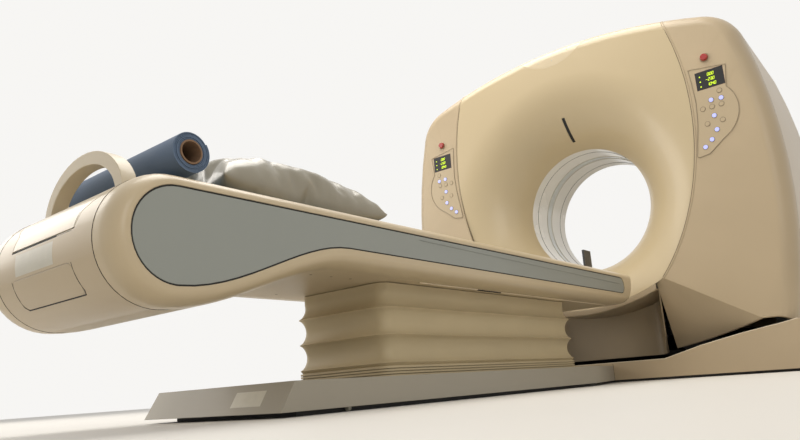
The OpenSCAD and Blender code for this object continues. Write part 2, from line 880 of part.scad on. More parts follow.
// The side cover's outer form: the profile's copies, joined into one smooth skin.
module couch_side_form() {
    steps = 8;
    rings = concat(
        [[for (p = couch_profile(0)) [inner_x - 5, p[0], p[1]]]],
        [for (k = [0:steps]) let (a = 90 * k / steps)
            [for (p = couch_profile(side_edge_z * (1 - cos(a))))
                [couch_half_w - side_edge_x * (1 - sin(a)), p[0], p[1]]]],
        [[for (p = couch_profile(side_edge_z)) [couch_half_w + 5, p[0], p[1]]]]);
    n = len(rings[0]);
    m = len(rings);
    polyhedron(
        points = [for (ring = rings) for (p = ring) p],
        faces = concat(
            [[for (i = [0:n - 1]) i]],
            [[for (i = [n - 1:-1:0]) (m - 1) * n + i]],
            [for (k = [0:m - 2]) for (i = [0:n - 1])
                [k * n + i, (k + 1) * n + i, (k + 1) * n + (i + 1) % n, k * n + (i + 1) % n]]),
        convexity = 6);
}

module couch_side() {
    difference() {
        couch_side_form();
        for (x = [inner_x - 20, couch_half_w]) translate([x, -3400, 0]) cube([20, 3400, 800]);
        lengthwise(inner_x - 1, couch_half_w - side_edge_x - 2) polygon(couch_profile(cover_t));
        lengthwise(inner_x - 1, couch_half_w - inlay_t - cover_t) polygon(couch_profile(side_edge_z));
        lengthwise(couch_half_w - inlay_t, couch_half_w + 1) polygon(inlay_profile(inlay_groove));
    }
}

module right_couch_cover() {
    color(cover_c) couch_side();
}

module left_couch_cover() {
    color(cover_c) mirror([1, 0, 0]) couch_side();
}

// The plate of the inlay, with the raised strip that tapers towards the foot end.
module inlay_shape() {
    lengthwise(couch_half_w - inlay_t, couch_half_w - 1) polygon(inlay_profile(0));
    lengthwise(couch_half_w - 1.5, couch_half_w + 1)
        polygon([[-2300, inlay_top_z - 12], [inlay_end_y - 8, inlay_top_z - 30], [inlay_end_y - 8, inlay_top_z - 10]]);
}

module right_inlay() {
    color(inlay_c) inlay_shape();
}

module left_inlay() {
    color(inlay_c) mirror([1, 0, 0]) inlay_shape();
}

cap_low_z = 421;
cap_back_y = bulb_y - 16;

// The rounded foot end between the side covers, moved inwards by inset.
module foot_end(inset, x_half) {
    intersection() {
        translate([-x_half, bulb_y, bulb_z]) rotate([0, 90, 0]) cylinder(r = bulb_r - inset, h = 2 * x_half, $fn = 144);
        translate([-x_half - 1, bulb_y - 200, 0]) cube([2 * x_half + 2, 188, 700]);
    }
}

// Front outline of the tabletop's end cap, moved outwards by grow.
module cap_outline(grow = 0) {
    offset(delta = grow)
        polygon([[-148, cap_low_z], [148, cap_low_z], [152, 458], [200, 496], [top_half_w, 524], [top_half_w, 600],
            [-top_half_w, 600], [-top_half_w, 524], [-200, 496], [-152, 458]]);
}

module end_cover() {
    color(cover_c) difference() {
        foot_end(0, inner_x - seam);
        foot_end(cover_t, inner_x - seam - cover_t);
        upright(bulb_y - 200, bulb_y) cap_outline(2.5);
        access_cut(seam);
    }
}

module access_cut(grow) {
    translate([0, -3200, 0]) rotate([90, 0, 0]) linear_extrude(200)
        offset(r = 20 + grow, $fn = 32) offset(delta = -20)
            translate([-150, 286]) square([285, 64]);
}

module access_panel() {
    color(cover_c) intersection() {
        difference() {
            foot_end(0, inner_x - seam);
            foot_end(cover_t, inner_x);
        }
        access_cut(0);
    }
}

module underside_cover() {
    color(cover_c) difference() {
        intersection() {
            lengthwise(-inner_x + seam, inner_x - seam) polygon(couch_profile(0));
            translate([-400, bulb_y - 11.4, 0]) cube([800, couch_front_y - 60 - bulb_y, 700]);
        }
        lengthwise(-inner_x - 1, inner_x + 1) polygon(couch_profile(cover_t));
        translate([-400, -4000, couch_under_z + 20]) cube([800, 4000, 400]);
        translate([-150, column_y[0] - 150, 300]) cube([300, column_y[1] - column_y[0] + 300, 200]);
    }
}

module couch_frame() {
    color("#6f7479") union() {
        difference() {
            translate([-inner_x + 4, bulb_y + 130, couch_under_z + cover_t])
                cube([2 * inner_x - 8, couch_front_y - nose_r - 20 - bulb_y - 130, 40 - cover_t]);
            translate([-inner_x + 40, bulb_y + 30, couch_under_z - 10])
                cube([2 * inner_x - 80, couch_front_y + 40 - bulb_y - 30, 40]);
        }
        // inner lifting columns, welded to the frame
        column_tubes(3, column_base_z + 12 + lift_down, couch_under_z + 31);
    }
}

// Tabletop and what lies on it

top_z = couch_top_z;

module tabletop() {
    color("#e4dcc6") difference() {
        intersection() {
            translate([-top_half_w, cap_back_y, top_z - top_t])
                cube([2 * top_half_w, couch_front_y - 2 - cap_back_y, top_t]);
            upright(cap_back_y - 1, couch_front_y) cap_outline(0);
        }
        translate([0, -3110, top_z + 2000 - 12]) rotate([-90, 0, 0]) cylinder(r = 2000, h = 3200, $fn = 200);
    }
}

module tabletop_end_cap() {
    color("#e4dcc6") difference() {
        intersection() {
            foot_end(0, top_half_w);
            upright(bulb_y - 200, cap_back_y - 0.3) cap_outline(0);
        }
        intersection() {
            foot_end(cover_t, top_half_w - cover_t);
            translate([-top_half_w, bulb_y - 200, 0]) cube([2 * top_half_w, 400, top_z - cover_t]);
        }
    }
}

hoop_y = -3186;
hoop_depth = 37;

function hoop_line(inset) = [for (i = [0:24]) let (a = 180 * i / 24)
    [(hoop_half_w - inset) * cos(a), top_z - 30 + (hoop_h + 30 - inset) * sin(a)]];

module hoop_handle() {
    color(cover_c) difference() {
        upright(hoop_y, hoop_y + hoop_depth) difference() {
            polygon(hoop_line(0));
            polygon(concat([[hoop_half_w - hoop_w, top_z - 60]], hoop_line(hoop_w), [[hoop_w - hoop_half_w, top_z - 60]]));
        }
        foot_end(-0.2, top_half_w + 20);
    }
}

mattress_half_w = 205;
mattress_y0 = -3100;
mattress_y1 = -600;

module mattress() {
    color("#8fa9c9") difference() {
        translate([-mattress_half_w, mattress_y0, top_z - 12])
            cube([2 * mattress_half_w, mattress_y1 - mattress_y0, mattress_t + 12]);
        tabletop_trough();
    }
}

module tabletop_trough() {
    translate([0, -3200, top_z + 2000 - 12]) rotate([-90, 0, 0]) difference() {
        cylinder(r = 2600, h = 3200, $fn = 200);
        translate([0, 0, -1]) cylinder(r = 2000 - 0.3, h = 3202, $fn = 200);
    }
}

pillow_x = 35;
pillow_y = -2635;

module pillow() {
    z0 = top_z + mattress_t + 0.3;
    color("#8b8578") translate([pillow_x, pillow_y, z0]) hull() {
        for (k = [[45, 55, 0], [0, 0, 0.4], [65, 95, 1 - 5 / pillow_h]])
            translate([k[0] - pillow_w / 2, k[1] - pillow_l / 2, k[2] * pillow_h])
                cube([pillow_w - 2 * k[0], pillow_l - 2 * k[1], 5]);
    }
}

roll_y = -3056;
roll_x0 = -252;

module roll_tube(r0, r1, x0, l) {
    translate([x0, roll_y, top_z + mattress_t + 0.3 + roll_r]) rotate([0, 90, 0]) difference() {
        cylinder(r = r1, h = l, $fn = 96);
        translate([0, 0, -1]) cylinder(r = r0, h = l + 2, $fn = 96);
    }
}

module paper_roll() {
    color(paper_c) roll_tube(core_r + 0.3, roll_r, roll_x0, roll_l);
}

module roll_core() {
    color("#8a6a44") roll_tube(core_r - 4, core_r, roll_x0 - 1, roll_l + 2);
}

module side_bracket() {
    color(black_c) union() {
        translate([mattress_half_w + 2, -945, top_z + 0.2]) cube([13, 150, 12]);
        translate([mattress_half_w + 5, -880, top_z + 5]) cube([10, 76, 95]);
    }
}

// Controls

key_places = [
    [804, 1323], [850, 1320], [806, 1241], [807, 1168], [777, 1125], [742, 1095]];
plain_places = [
    [848, 1359], [760, 1288], [803, 1288], [847, 1289], [769, 1208], [840, 1209]];
key_bore = key_r + 0.5;

module on_front(x, z, y) {
    translate([x, -front_y + y, z]) rotate([90, 0, 0]) children();
}

module right_control_shape() {
    difference() {
        union() {
            upright(-front_y - 1, -front_y + 8) control_outline(0);
            for (p = plain_places) on_front(p[0], p[1], 0) cylinder(r = key_r, h = 3, $fn = 32);
        }
        for (p = key_places) on_front(p[0], p[1], 9) cylinder(r = key_bore, h = 12, $fn = 32);
        translate([display_x - 66, -front_y - 2, display_z - 48]) cube([132, 8, 96]);
    }
}

module right_control_panel() {
    color(panel_c) right_control_shape();
}

module left_control_panel() {
    color(panel_c) mirror([1, 0, 0]) right_control_shape();
}

module display_shape() {
    translate([display_x - 65, -front_y - 1.5, display_z - 47]) cube([130, 7.2, 94]);
}

module right_display() {
    color(black_c) display_shape();
}

module left_display() {
    color(black_c) mirror([1, 0, 0]) display_shape();
}

module key_cap(n) {
    p = key_places[n - 1];
    color("#b9c0ee") on_front(p[0], p[1], 7) cylinder(r = key_r, h = 9 + key_travel, $fn = 32);
}

module left_key_cap(n) {
    mirror([1, 0, 0]) key_cap(n);
}

stop_x = display_x - 8;

module stop_shape() {
    union() {
        on_front(stop_x, stop_z, 30) cylinder(r = 8, h = 37, $fn = 32);
        on_front(stop_x, stop_z, -6) cylinder(r1 = stop_r, r2 = stop_r - 4, h = 12, $fn = 48);
    }
}

module right_stop_button() {
    color("#b3242a") stop_shape();
}

module left_stop_button() {
    color("#b3242a") mirror([1, 0, 0]) stop_shape();
}

gantry_base();
gantry_base_cover();
left_stand();
right_stand();
couch_base_plate();
couch_base_cover();
lift_outer_columns();
bellows();
tilt_frame();
bore_liner();
scan_window();
dish_cover();
left_front_panel();
right_front_panel();
lower_front_panel();
badge_panel();
laser_window();
left_side_cover();
right_side_cover();
rear_cover();
left_control_panel();
right_control_panel();
left_display();
right_display();
rotor_drum();
xray_tube();
detector();
slip_ring();
lift_stage_one();
lift_stage_two();
couch_frame();
left_couch_cover();
right_couch_cover();
left_inlay();
right_inlay();
end_cover();
access_panel();
underside_cover();
tabletop();
tabletop_end_cap();
hoop_handle();
mattress();
pillow();
paper_roll();
roll_core();
side_bracket();
left_stop_button();
right_stop_button();
left_key_cap(1);  // left_key_1
left_key_cap(2);  // left_key_2
left_key_cap(3);  // left_key_3
left_key_cap(4);  // left_key_4
left_key_cap(5);  // left_key_5
left_key_cap(6);  // left_key_6
key_cap(1);  // right_key_1
key_cap(2);  // right_key_2
key_cap(3);  // right_key_3
key_cap(4);  // right_key_4
key_cap(5);  // right_key_5
key_cap(6);  // right_key_6
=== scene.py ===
import math

import bmesh
import bpy
import numpy as np
from mathutils import Matrix, Vector, noise
from mathutils.bvhtree import BVHTree


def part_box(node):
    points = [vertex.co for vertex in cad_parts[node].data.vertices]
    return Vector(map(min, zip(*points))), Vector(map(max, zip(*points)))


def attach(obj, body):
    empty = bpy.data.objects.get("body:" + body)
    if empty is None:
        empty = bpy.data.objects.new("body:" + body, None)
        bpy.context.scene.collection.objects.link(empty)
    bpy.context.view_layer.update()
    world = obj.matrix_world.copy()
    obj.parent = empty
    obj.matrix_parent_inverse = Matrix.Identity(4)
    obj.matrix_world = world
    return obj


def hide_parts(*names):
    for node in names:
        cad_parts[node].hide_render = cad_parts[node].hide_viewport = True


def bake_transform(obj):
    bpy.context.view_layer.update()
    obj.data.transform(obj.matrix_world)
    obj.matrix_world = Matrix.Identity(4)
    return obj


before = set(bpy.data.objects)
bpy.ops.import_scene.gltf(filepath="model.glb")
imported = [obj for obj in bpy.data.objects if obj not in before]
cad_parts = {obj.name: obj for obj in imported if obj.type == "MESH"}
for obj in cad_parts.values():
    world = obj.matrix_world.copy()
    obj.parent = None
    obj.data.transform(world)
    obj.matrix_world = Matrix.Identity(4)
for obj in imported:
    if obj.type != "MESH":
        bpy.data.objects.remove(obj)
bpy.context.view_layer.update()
scene = bpy.context.scene

# Camera
# The photographer crouched at the foot of the couch, with the lens about
# 5 cm over the floor, looking up and to the left along the couch.
yaw, pitch, roll = 0.670, 0.217, -0.072
ahead = Vector((-math.sin(yaw) * math.cos(pitch), math.cos(yaw) * math.cos(pitch), math.sin(pitch)))
right = Vector((math.cos(yaw), math.sin(yaw), 0.0))
up = right.cross(ahead)
cam_x = math.cos(roll) * right + math.sin(roll) * up
cam_y = -math.sin(roll) * right + math.cos(roll) * up
cam_data = bpy.data.cameras.new("camera")
cam = bpy.data.objects.new("camera", cam_data)
scene.collection.objects.link(cam)
lens_at = (1.5145, -3.9143, 0.0483)
cam.matrix_world = Matrix((
    (cam_x.x, cam_y.x, -ahead.x, lens_at[0]),
    (cam_x.y, cam_y.y, -ahead.y, lens_at[1]),
    (cam_x.z, cam_y.z, -ahead.z, lens_at[2]),
    (0, 0, 0, 1)))
cam_data.sensor_width = 36.0
cam_data.lens = 30.5
cam_data.shift_y = 0.0233
cam_data.clip_start = 0.02
cam_data.clip_end = 60.0
scene.camera = cam

# Floor and light
# A plain pale studio floor, a pale world, and three large soft lamps: one
# over the couch, one from the far left and a weak one on the camera's side.
scene.view_settings.view_transform = "Standard"
floor_mesh = bpy.data.meshes.new("floor")
floor_mesh.from_pydata([(-14, -14, 0), (14, -14, 0), (14, 14, 0), (-14, 14, 0)], [], [(0, 1, 2, 3)])
floor = bpy.data.objects.new("floor", floor_mesh)
scene.collection.objects.link(floor)
floor_paint = bpy.data.materials.new("floor")
floor_paint.use_nodes = True
floor_paint.node_tree.nodes["Principled BSDF"].inputs["Base Color"].default_value = (0.72, 0.70, 0.66, 1)
floor_paint.node_tree.nodes["Principled BSDF"].inputs["Roughness"].default_value = 0.5
floor_mesh.materials.append(floor_paint)

world = bpy.data.worlds.new("world")
scene.world = world
world.use_nodes = True
nodes, links = world.node_tree.nodes, world.node_tree.links
seen = nodes.new("ShaderNodeLightPath")
pale = nodes.new("ShaderNodeBackground")
pale.inputs["Color"].default_value = (0.93, 0.92, 0.90, 1)
lit = nodes["Background"]
lit.inputs["Color"].default_value = (1.0, 0.975, 0.94, 1)
lit.inputs["Strength"].default_value = 0.50
direct = nodes.new("ShaderNodeMath")
direct.operation = "MAXIMUM"
shown = nodes.new("ShaderNodeMath")
shown.operation = "MAXIMUM"
links.new(seen.outputs["Is Camera Ray"], direct.inputs[0])
links.new(seen.outputs["Is Glossy Ray"], direct.inputs[1])
links.new(direct.outputs[0], shown.inputs[0])
links.new(seen.outputs["Is Transmission Ray"], shown.inputs[1])
either = nodes.new("ShaderNodeMixShader")
links.new(shown.outputs[0], either.inputs["Fac"])
links.new(lit.outputs["Background"], either.inputs[1])
links.new(pale.outputs["Background"], either.inputs[2])
links.new(either.outputs["Shader"], nodes["World Output"].inputs["Surface"])


def soft_lamp(name, at, target, size, watts, colour):
    """A large soft lamp at a place, turned towards its target."""
    data = bpy.data.lights.new(name, "AREA")
    data.shape = "RECTANGLE"
    data.size, data.size_y = size
    data.energy = watts
    data.color = colour
    lamp = bpy.data.objects.new(name, data)
    scene.collection.objects.link(lamp)
    lamp.location = at
    lamp.rotation_mode = "QUATERNION"
    lamp.rotation_quaternion = (Vector(target) - Vector(at)).to_track_quat("-Z", "Y")


soft_lamp("ceiling_lamp", (-0.6, -1.4, 4.2), (0.0, -1.2, 0.6), (3.2, 3.2), 150, (1.0, 0.96, 0.90))
soft_lamp("left_lamp", (-4.2, -3.4, 2.2), (0.0, -0.8, 0.9), (2.4, 2.4), 60, (1.0, 0.95, 0.88))
soft_lamp("camera_side_lamp", (3.8, -4.6, 2.4), (0.4, -1.4, 0.6), (2.6, 2.6), 45, (1.0, 0.96, 0.91))

# Floor plates
# The machine stands on two thick steel plates, flame cut, painted black
# and bolted to the floor. Only their edges show in the shadow gap.


def paint(name, colour, rough=0.45, metal=0.0, coat=0.0, cloud=0.05, cloud_size=3.0,
          grain=0.12, grain_size=900.0, wear=0.0, soft_edge=0.0, brushed=0.0):
    """A painted or moulded surface: uneven tone and gloss, fine grain, lighter edges where wear is set."""
    mat = bpy.data.materials.new(name)
    mat.use_nodes = True
    nodes, links = mat.node_tree.nodes, mat.node_tree.links
    bsdf = nodes["Principled BSDF"]
    bsdf.inputs["Metallic"].default_value = metal
    bsdf.inputs["Coat Weight"].default_value = coat
    bsdf.inputs["Coat Roughness"].default_value = 0.12
    place = nodes.new("ShaderNodeTexCoord")
    patch = nodes.new("ShaderNodeTexNoise")
    patch.inputs["Scale"].default_value = cloud_size
    patch.inputs["Detail"].default_value = 5.0
    links.new(place.outputs["Object"], patch.inputs["Vector"])
    tone = nodes.new("ShaderNodeMix")
    tone.data_type = "RGBA"
    tone.inputs["A"].default_value = (*[c * (1 - cloud) for c in colour], 1)
    tone.inputs["B"].default_value = (*[min(1.0, c * (1 + cloud)) for c in colour], 1)
    links.new(patch.outputs["Fac"], tone.inputs["Factor"])
    final = tone.outputs["Result"]
    if wear > 0:
        shape = nodes.new("ShaderNodeNewGeometry")
        edge = nodes.new("ShaderNodeMapRange")
        edge.inputs["From Min"].default_value = 0.52
        edge.inputs["From Max"].default_value = 0.62
        edge.inputs["To Max"].default_value = wear
        links.new(shape.outputs["Pointiness"], edge.inputs["Value"])
        worn = nodes.new("ShaderNodeMix")
        worn.data_type = "RGBA"
        worn.inputs["B"].default_value = (*[min(1.0, c * 1.35 + 0.03) for c in colour], 1)
        links.new(edge.outputs["Result"], worn.inputs["Factor"])
        links.new(final, worn.inputs["A"])
        final = worn.outputs["Result"]
    links.new(final, bsdf.inputs["Base Color"])
    gloss = nodes.new("ShaderNodeMapRange")
    gloss.inputs["To Min"].default_value = rough - 0.05
    gloss.inputs["To Max"].default_value = rough + 0.07
    links.new(patch.outputs["Fac"], gloss.inputs["Value"])
    links.new(gloss.outputs["Result"], bsdf.inputs["Roughness"])
    fine = nodes.new("ShaderNodeTexNoise")
    fine.inputs["Scale"].default_value = grain_size
    fine.inputs["Detail"].default_value = 2.0
    if brushed > 0:
        long = nodes.new("ShaderNodeMapping")
        long.inputs["Scale"].default_value = (1.0, 1.0, brushed)
        links.new(place.outputs["Object"], long.inputs["Vector"])
        links.new(long.outputs["Vector"], fine.inputs["Vector"])
    else:
        links.new(place.outputs["Object"], fine.inputs["Vector"])
    raised = nodes.new("ShaderNodeBump")
    raised.inputs["Strength"].default_value = grain
    raised.inputs["Distance"].default_value = 0.0004
    links.new(fine.outputs["Fac"], raised.inputs["Height"])
    if soft_edge > 0:
        rounded = nodes.new("ShaderNodeBevel")
        rounded.samples = 4
        rounded.inputs["Radius"].default_value = soft_edge
        links.new(rounded.outputs["Normal"], raised.inputs["Normal"])
    links.new(raised.outputs["Normal"], bsdf.inputs["Normal"])
    return mat


def dress(mat, *names, crease=32, bevel=0.0):
    """Puts a material on CAD nodes and shades their curves smooth, with their creases kept."""
    for name in names:
        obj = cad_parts[name]
        obj.data.materials.clear()
        obj.data.materials.append(mat)
        obj.data.shade_smooth()
        weld = obj.modifiers.new("weld", "WELD")
        weld.merge_threshold = 0.00001
        if bevel > 0:
            edge = obj.modifiers.new("edge", "BEVEL")
            edge.width = bevel
            edge.segments = 5
            edge.limit_method = "ANGLE"
            edge.angle_limit = math.radians(45)
        split = obj.modifiers.new("crease", "EDGE_SPLIT")
        split.split_angle = math.radians(crease)
        flat = obj.modifiers.new("even", "WEIGHTED_NORMAL")
        flat.weight = 60


plate_black = paint("plate_black", (0.030, 0.029, 0.027), 0.6, grain=0.4, grain_size=400, wear=0.5)
dress(plate_black, "gantry_base", "couch_base_plate")

# Gantry stands
# Two upright steel weldments with trunnion bearings, hidden by the side
# covers. Grey primer, with the mill scale showing through in places.
primer = paint("stand_primer", (0.22, 0.225, 0.23), 0.55, cloud=0.16, cloud_size=7, grain=0.35,
               grain_size=300, wear=0.6)
dress(primer, "left_stand", "right_stand")

# Gantry base cover
# A vacuum-formed beige skirt over the floor plate, clipped on. A thin light rod
# along its top edge is a painted highlight, and a round plug closes the bolt hole in its front.
# cover_beige is darker than the dish cream, partly by the panels' own colour and partly by painted shade.
cover_beige = paint("cover_beige", (0.445, 0.350, 0.222), 0.42, coat=0.12, wear=0.35, soft_edge=0.003)
base_paint = paint("base_cover", (0.400, 0.312, 0.198), 0.45, coat=0.08, wear=0.35, soft_edge=0.003)
dress(base_paint, "gantry_base_cover")
# A pale colour laid on rods as a painted highlight along rounded edges; the underside guide strips are
# drawn in it too.
highlight_and_trim_paint = paint("painted_highlight_and_pale_trim", (0.66, 0.56, 0.40), 0.36, coat=0.2)
gap_black = paint("gap_black", (0.012, 0.011, 0.010), 0.7, grain=0.3)


def tree_of(*names):
    """The surfaces of some CAD nodes, for laying trims and lines on them."""
    verts, faces = [], []
    for name in names:
        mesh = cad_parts[name].data
        mesh.calc_loop_triangles()
        first = len(verts)
        verts.extend(v.co.copy() for v in mesh.vertices)
        faces.extend([first + i for i in t.vertices] for t in mesh.loop_triangles)
    return BVHTree.FromPolygons(verts, faces)


def laid(tree, starts, way, lift=0.0):
    """Where lines from the starts meet the surface, moved back by lift; lines that miss are left out."""
    found = []
    for p in starts:
        hit = tree.ray_cast(Vector(p), Vector(way))
        if hit[0] is not None:
            found.append(hit[0] - Vector(way).normalized() * lift)
    return found


def rod(name, points, radius, mat, body, closed=False):
    """A thin round trim, line or wire along a path."""
    data = bpy.data.curves.new(name, "CURVE")
    data.dimensions = "3D"
    data.bevel_depth = radius
    data.bevel_resolution = 3
    data.use_fill_caps = not closed
    run = data.splines.new("POLY")
    run.points.add(len(points) - 1)
    for at, p in zip(run.points, points):
        at.co = (*p, 1.0)
    run.use_cyclic_u = closed
    obj = bpy.data.objects.new(name, data)
    scene.collection.objects.link(obj)
    data.materials.append(mat)
    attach(obj, body)
    return obj


def piece(name, verts, faces, mat, body, smooth=True):
    """A new mesh piece that rides on a body."""
    mesh = bpy.data.meshes.new(name)
    mesh.from_pydata([tuple(v) for v in verts], [], faces)
    mesh.materials.append(mat)
    form = bmesh.new()
    form.from_mesh(mesh)
    bmesh.ops.recalc_face_normals(form, faces=form.faces)
    form.to_mesh(mesh)
    form.free()
    if smooth:
        mesh.shade_smooth()
    obj = bpy.data.objects.new(name, mesh)
    scene.collection.objects.link(obj)
    if body:
        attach(obj, body)
    return obj


def full_turn(steps):
    """Evenly spaced angles round a circle, in radians."""
    return [2 * math.pi * k / steps for k in range(steps)]


def band(j, count):
    """The faces between ring j and the next one, where every ring has count points."""
    a, b = j * count, (j + 1) * count
    return [(a + k, a + (k + 1) % count, b + (k + 1) % count, b + k) for k in range(count)]


def turned(name, profile, centre, mat, body, steps=40):
    """A turned piece whose axis runs along Y: profile is a list of (radius, y), closed at its ends."""
    verts, faces = [], []
    for r, y in profile:
        for a in full_turn(steps):
            verts.append((centre[0] + r * math.cos(a), centre[1] + y, centre[2] + r * math.sin(a)))
    for j in range(len(profile) - 1):
        faces += band(j, steps)
    faces.append(tuple(range(steps)))
    faces.append(tuple((len(profile) - 1) * steps + k for k in range(steps)))
    obj = piece(name, verts, faces, mat, body)
    split = obj.modifiers.new("crease", "EDGE_SPLIT")
    split.split_angle = math.radians(40)
    return obj


base_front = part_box("gantry_base_cover")[0][1]
base_tree = tree_of("gantry_base_cover")
base_top = laid(base_tree, [(x, base_front + 0.003, 0.6) for x in np.linspace(-0.99, 0.99, 67)],
                (0, 0, -1), 0.0005)
rod("base_top_highlight", base_top, 0.0026, highlight_and_trim_paint, "base")
plug_at = laid(base_tree, [(0.110, -1.2, 0.055)], (0, 1, 0))
if plug_at:
    turned("base_plug", [(0.009, 0.001), (0.0088, -0.0012), (0.0072, -0.0026), (0.003, -0.003)],
           plug_at[0], base_paint, "base", 32)
for k, x in enumerate((-0.127, 0.127)):
    line = laid(base_tree, [(x, -1.2, z) for z in np.linspace(0.016, 0.094, 8)], (0, 1, 0), 0.0)
    if len(line) > 1:
        rod(f"base_seam_{k}", line, 0.0011, gap_black, "base")

# Painted shade inside the gantry
# Three black sheets close the tilting covers from below, curved about the tilt
# axis: painted shade, so that only darkness shows in the gap over the base.
# This black stands in for the shade in the gaps under the gantry: painted shade.
painted_shade_black = paint("painted_shade_black", (0.016, 0.015, 0.014), 0.65, grain=0.5, grain_size=500)
tilt_axis_z = 0.984
shade_sheet_r, shade_sheet_t, shade_sheet_steps = 0.858, 0.003, 24
shade_sheet_back_y = 0.44


def curved_shade_sheet(name, x0, x1, y0):
    """One black sheet of painted shade, bent about the tilt axis, from x0 to x1 and from y0 to the back."""
    verts, faces = [], []
    first, last = math.asin(y0 / shade_sheet_r), math.asin(shade_sheet_back_y / shade_sheet_r)
    turns = [first + (last - first) * k / shade_sheet_steps for k in range(shade_sheet_steps + 1)]
    for r in (shade_sheet_r, shade_sheet_r - shade_sheet_t):
        for x in (x0, x1):
            verts.extend((x, r * math.sin(t), tilt_axis_z - r * math.cos(t)) for t in turns)
    b, c, d = len(turns), 2 * len(turns), 3 * len(turns)
    for k in range(shade_sheet_steps):
        faces += [(k, k + 1, b + k + 1, b + k), (c + k, d + k, d + k + 1, c + k + 1),
                  (k, c + k, c + k + 1, k + 1), (b + k, b + k + 1, d + k + 1, d + k)]
    faces += [(0, b, d, c), (shade_sheet_steps, c + shade_sheet_steps, d + shade_sheet_steps, b + shade_sheet_steps)]
    return piece(name, verts, faces, painted_shade_black, "gantry")


curved_shade_sheet("left_shade_sheet", -0.822, -0.404, -0.30)
curved_shade_sheet("right_shade_sheet", 0.404, 0.822, -0.30)
curved_shade_sheet("middle_shade_sheet", -0.402, 0.402, -0.17)

# Rear shade strip of the base
# A black strip stands inside the base cover's back edge and shuts the view
# under the gantry: painted shade for the dark space there. It stands on the floor plate.
verts = [(x, y, z) for x in (-0.72, 0.72) for y in (0.4525, 0.4560) for z in (0.046, 0.150)]
shade_strip_faces = [(0, 1, 3, 2), (4, 6, 7, 5), (0, 4, 5, 1), (2, 3, 7, 6), (0, 2, 6, 4), (1, 5, 7, 3)]
piece("rear_shade_strip", verts, shade_strip_faces, painted_shade_black, "base", smooth=False)

# Couch base
# A grey moulded cover over the couch's floor plate. Its foot face slopes and
# carries a small blank silver label, and a levelling post shows in the gap.
couch_grey = paint("couch_base_grey", (0.270, 0.243, 0.190), 0.48, coat=0.06, wear=0.4, soft_edge=0.002)
dress(couch_grey, "couch_base_cover")
silver_film = paint("silver_film", (0.52, 0.49, 0.40), 0.34, cloud=0.09, cloud_size=40, grain=0.2)
foot_tree = tree_of("couch_base_cover")


def sticker(name, tree, starts, way, rows, mat, body, thick=0.0004):
    """A thin film on a surface: a grid of starts is laid on it, row by row, and given a thickness."""
    flat = laid(tree, starts, way, 0.0)
    if len(flat) != len(starts):
        return None
    cols = len(starts) // rows
    out = Vector(way).normalized() * -thick
    verts = [p + out * 0.5 for p in flat] + [p - out for p in flat]
    faces = []
    for r in range(rows - 1):
        for c in range(cols - 1):
            a = r * cols + c
            faces += [(a, a + 1, a + cols + 1, a + cols),
                      (len(flat) + a, len(flat) + a + cols, len(flat) + a + cols + 1, len(flat) + a + 1)]
    rim = list(range(cols)) + [r * cols + cols - 1 for r in range(1, rows)]
    rim += [(rows - 1) * cols + c for c in range(cols - 2, -1, -1)]
    rim += [r * cols for r in range(rows - 2, 0, -1)]
    for i, a in enumerate(rim):
        b = rim[(i + 1) % len(rim)]
        faces.append((a, len(flat) + a, len(flat) + b, b))
    return piece(name, verts, faces, mat, body, smooth=False)


label_at = [(x, -3.4, z) for z in np.linspace(0.030, 0.066, 4) for x in np.linspace(0.085, 0.20, 4)]
sticker("base_label", foot_tree, label_at, (0, 1, 0), 4, silver_film, "base")
turned("levelling_post", [(0.0, -0.005), (0.007, -0.005), (0.007, 0.005), (0.0, 0.005)],
       (0.262, -2.60, 0.0085), silver_film, "base", 24)

# Lift columns
# Two stacks of nested square columns lift the couch: extruded aluminium
# profiles, clear anodised, drawn along their length. The bellows hides them.
anodised = paint("column_aluminium", (0.62, 0.61, 0.59), 0.36, metal=1.0, cloud=0.04, grain=0.25,
                 grain_size=700, brushed=0.02)
dress(anodised, "lift_outer_columns", "lift_stage_one", "lift_stage_two")

# Bellows
# A cream rubberised bellows with wide hollow folds and sharp ridges, clamped
# at the couch; below, the folds that aren't drawn out lie stacked flat.
bellows_cloth = paint("bellows_cream", (0.470, 0.385, 0.235), 0.56, cloud=0.08, cloud_size=5, grain=0.5,
                      grain_size=1400, wear=0.5)
bellows_y, half_x, half_y, corner_r = -1.711, 0.2078, 0.6508, 0.060
rows = []
for k in range(4):
    z = 0.0845 + 0.0084 * k
    rows += [(z, 0.0), (z + 0.0055, 0.0), (z + 0.0062, 0.007), (z + 0.0078, 0.007)]
folds = [(0.1185, 0.006), (0.126, 0.0)]
for start, stop in ((0.126, 0.210), (0.210, 0.294), (0.294, 0.3715)):
    top_fold = stop > 0.3
    for k in range(1, 15):
        t = k / 14
        hollow = 0.0235 * math.sin(math.pi * min(t, 0.62 if top_fold else 1.0)) ** 0.62
        if k == 14 and not top_fold:
            hollow = 0.0
        folds.append((start + (stop - start) * t, hollow))
rows += folds
verts, faces = [], []
for z, inset in rows:
    loop = []
    for (ox, oy), a0 in (((1, 1), 0), ((-1, 1), 90), ((-1, -1), 180), ((1, -1), 270)):
        r = corner_r - inset
        px, py = ox * (half_x - corner_r), bellows_y + oy * (half_y - corner_r)
        for t in range(0, 91, 9):
            a = math.radians(a0 + t)
            loop.append((px + r * math.cos(a), py + r * math.sin(a)))
    full = []
    for i, (x, y) in enumerate(loop):
        next_x, next_y = loop[(i + 1) % len(loop)]
        far = math.hypot(next_x - x, next_y - y)
        parts = 12 if far > 0.6 else (5 if far > 0.1 else 1)
        full += [(x + (next_x - x) * q / parts, y + (next_y - y) * q / parts) for q in range(parts)]
    ring = len(full)
    for x, y in full:
        sag = 0.0007 * noise.noise(Vector((x * 14, y * 7, z * 30)))
        verts.append((x - sag * (1 if x > 0 else -1), y, z))
for j in range(len(rows) - 1):
    faces += band(j, ring)
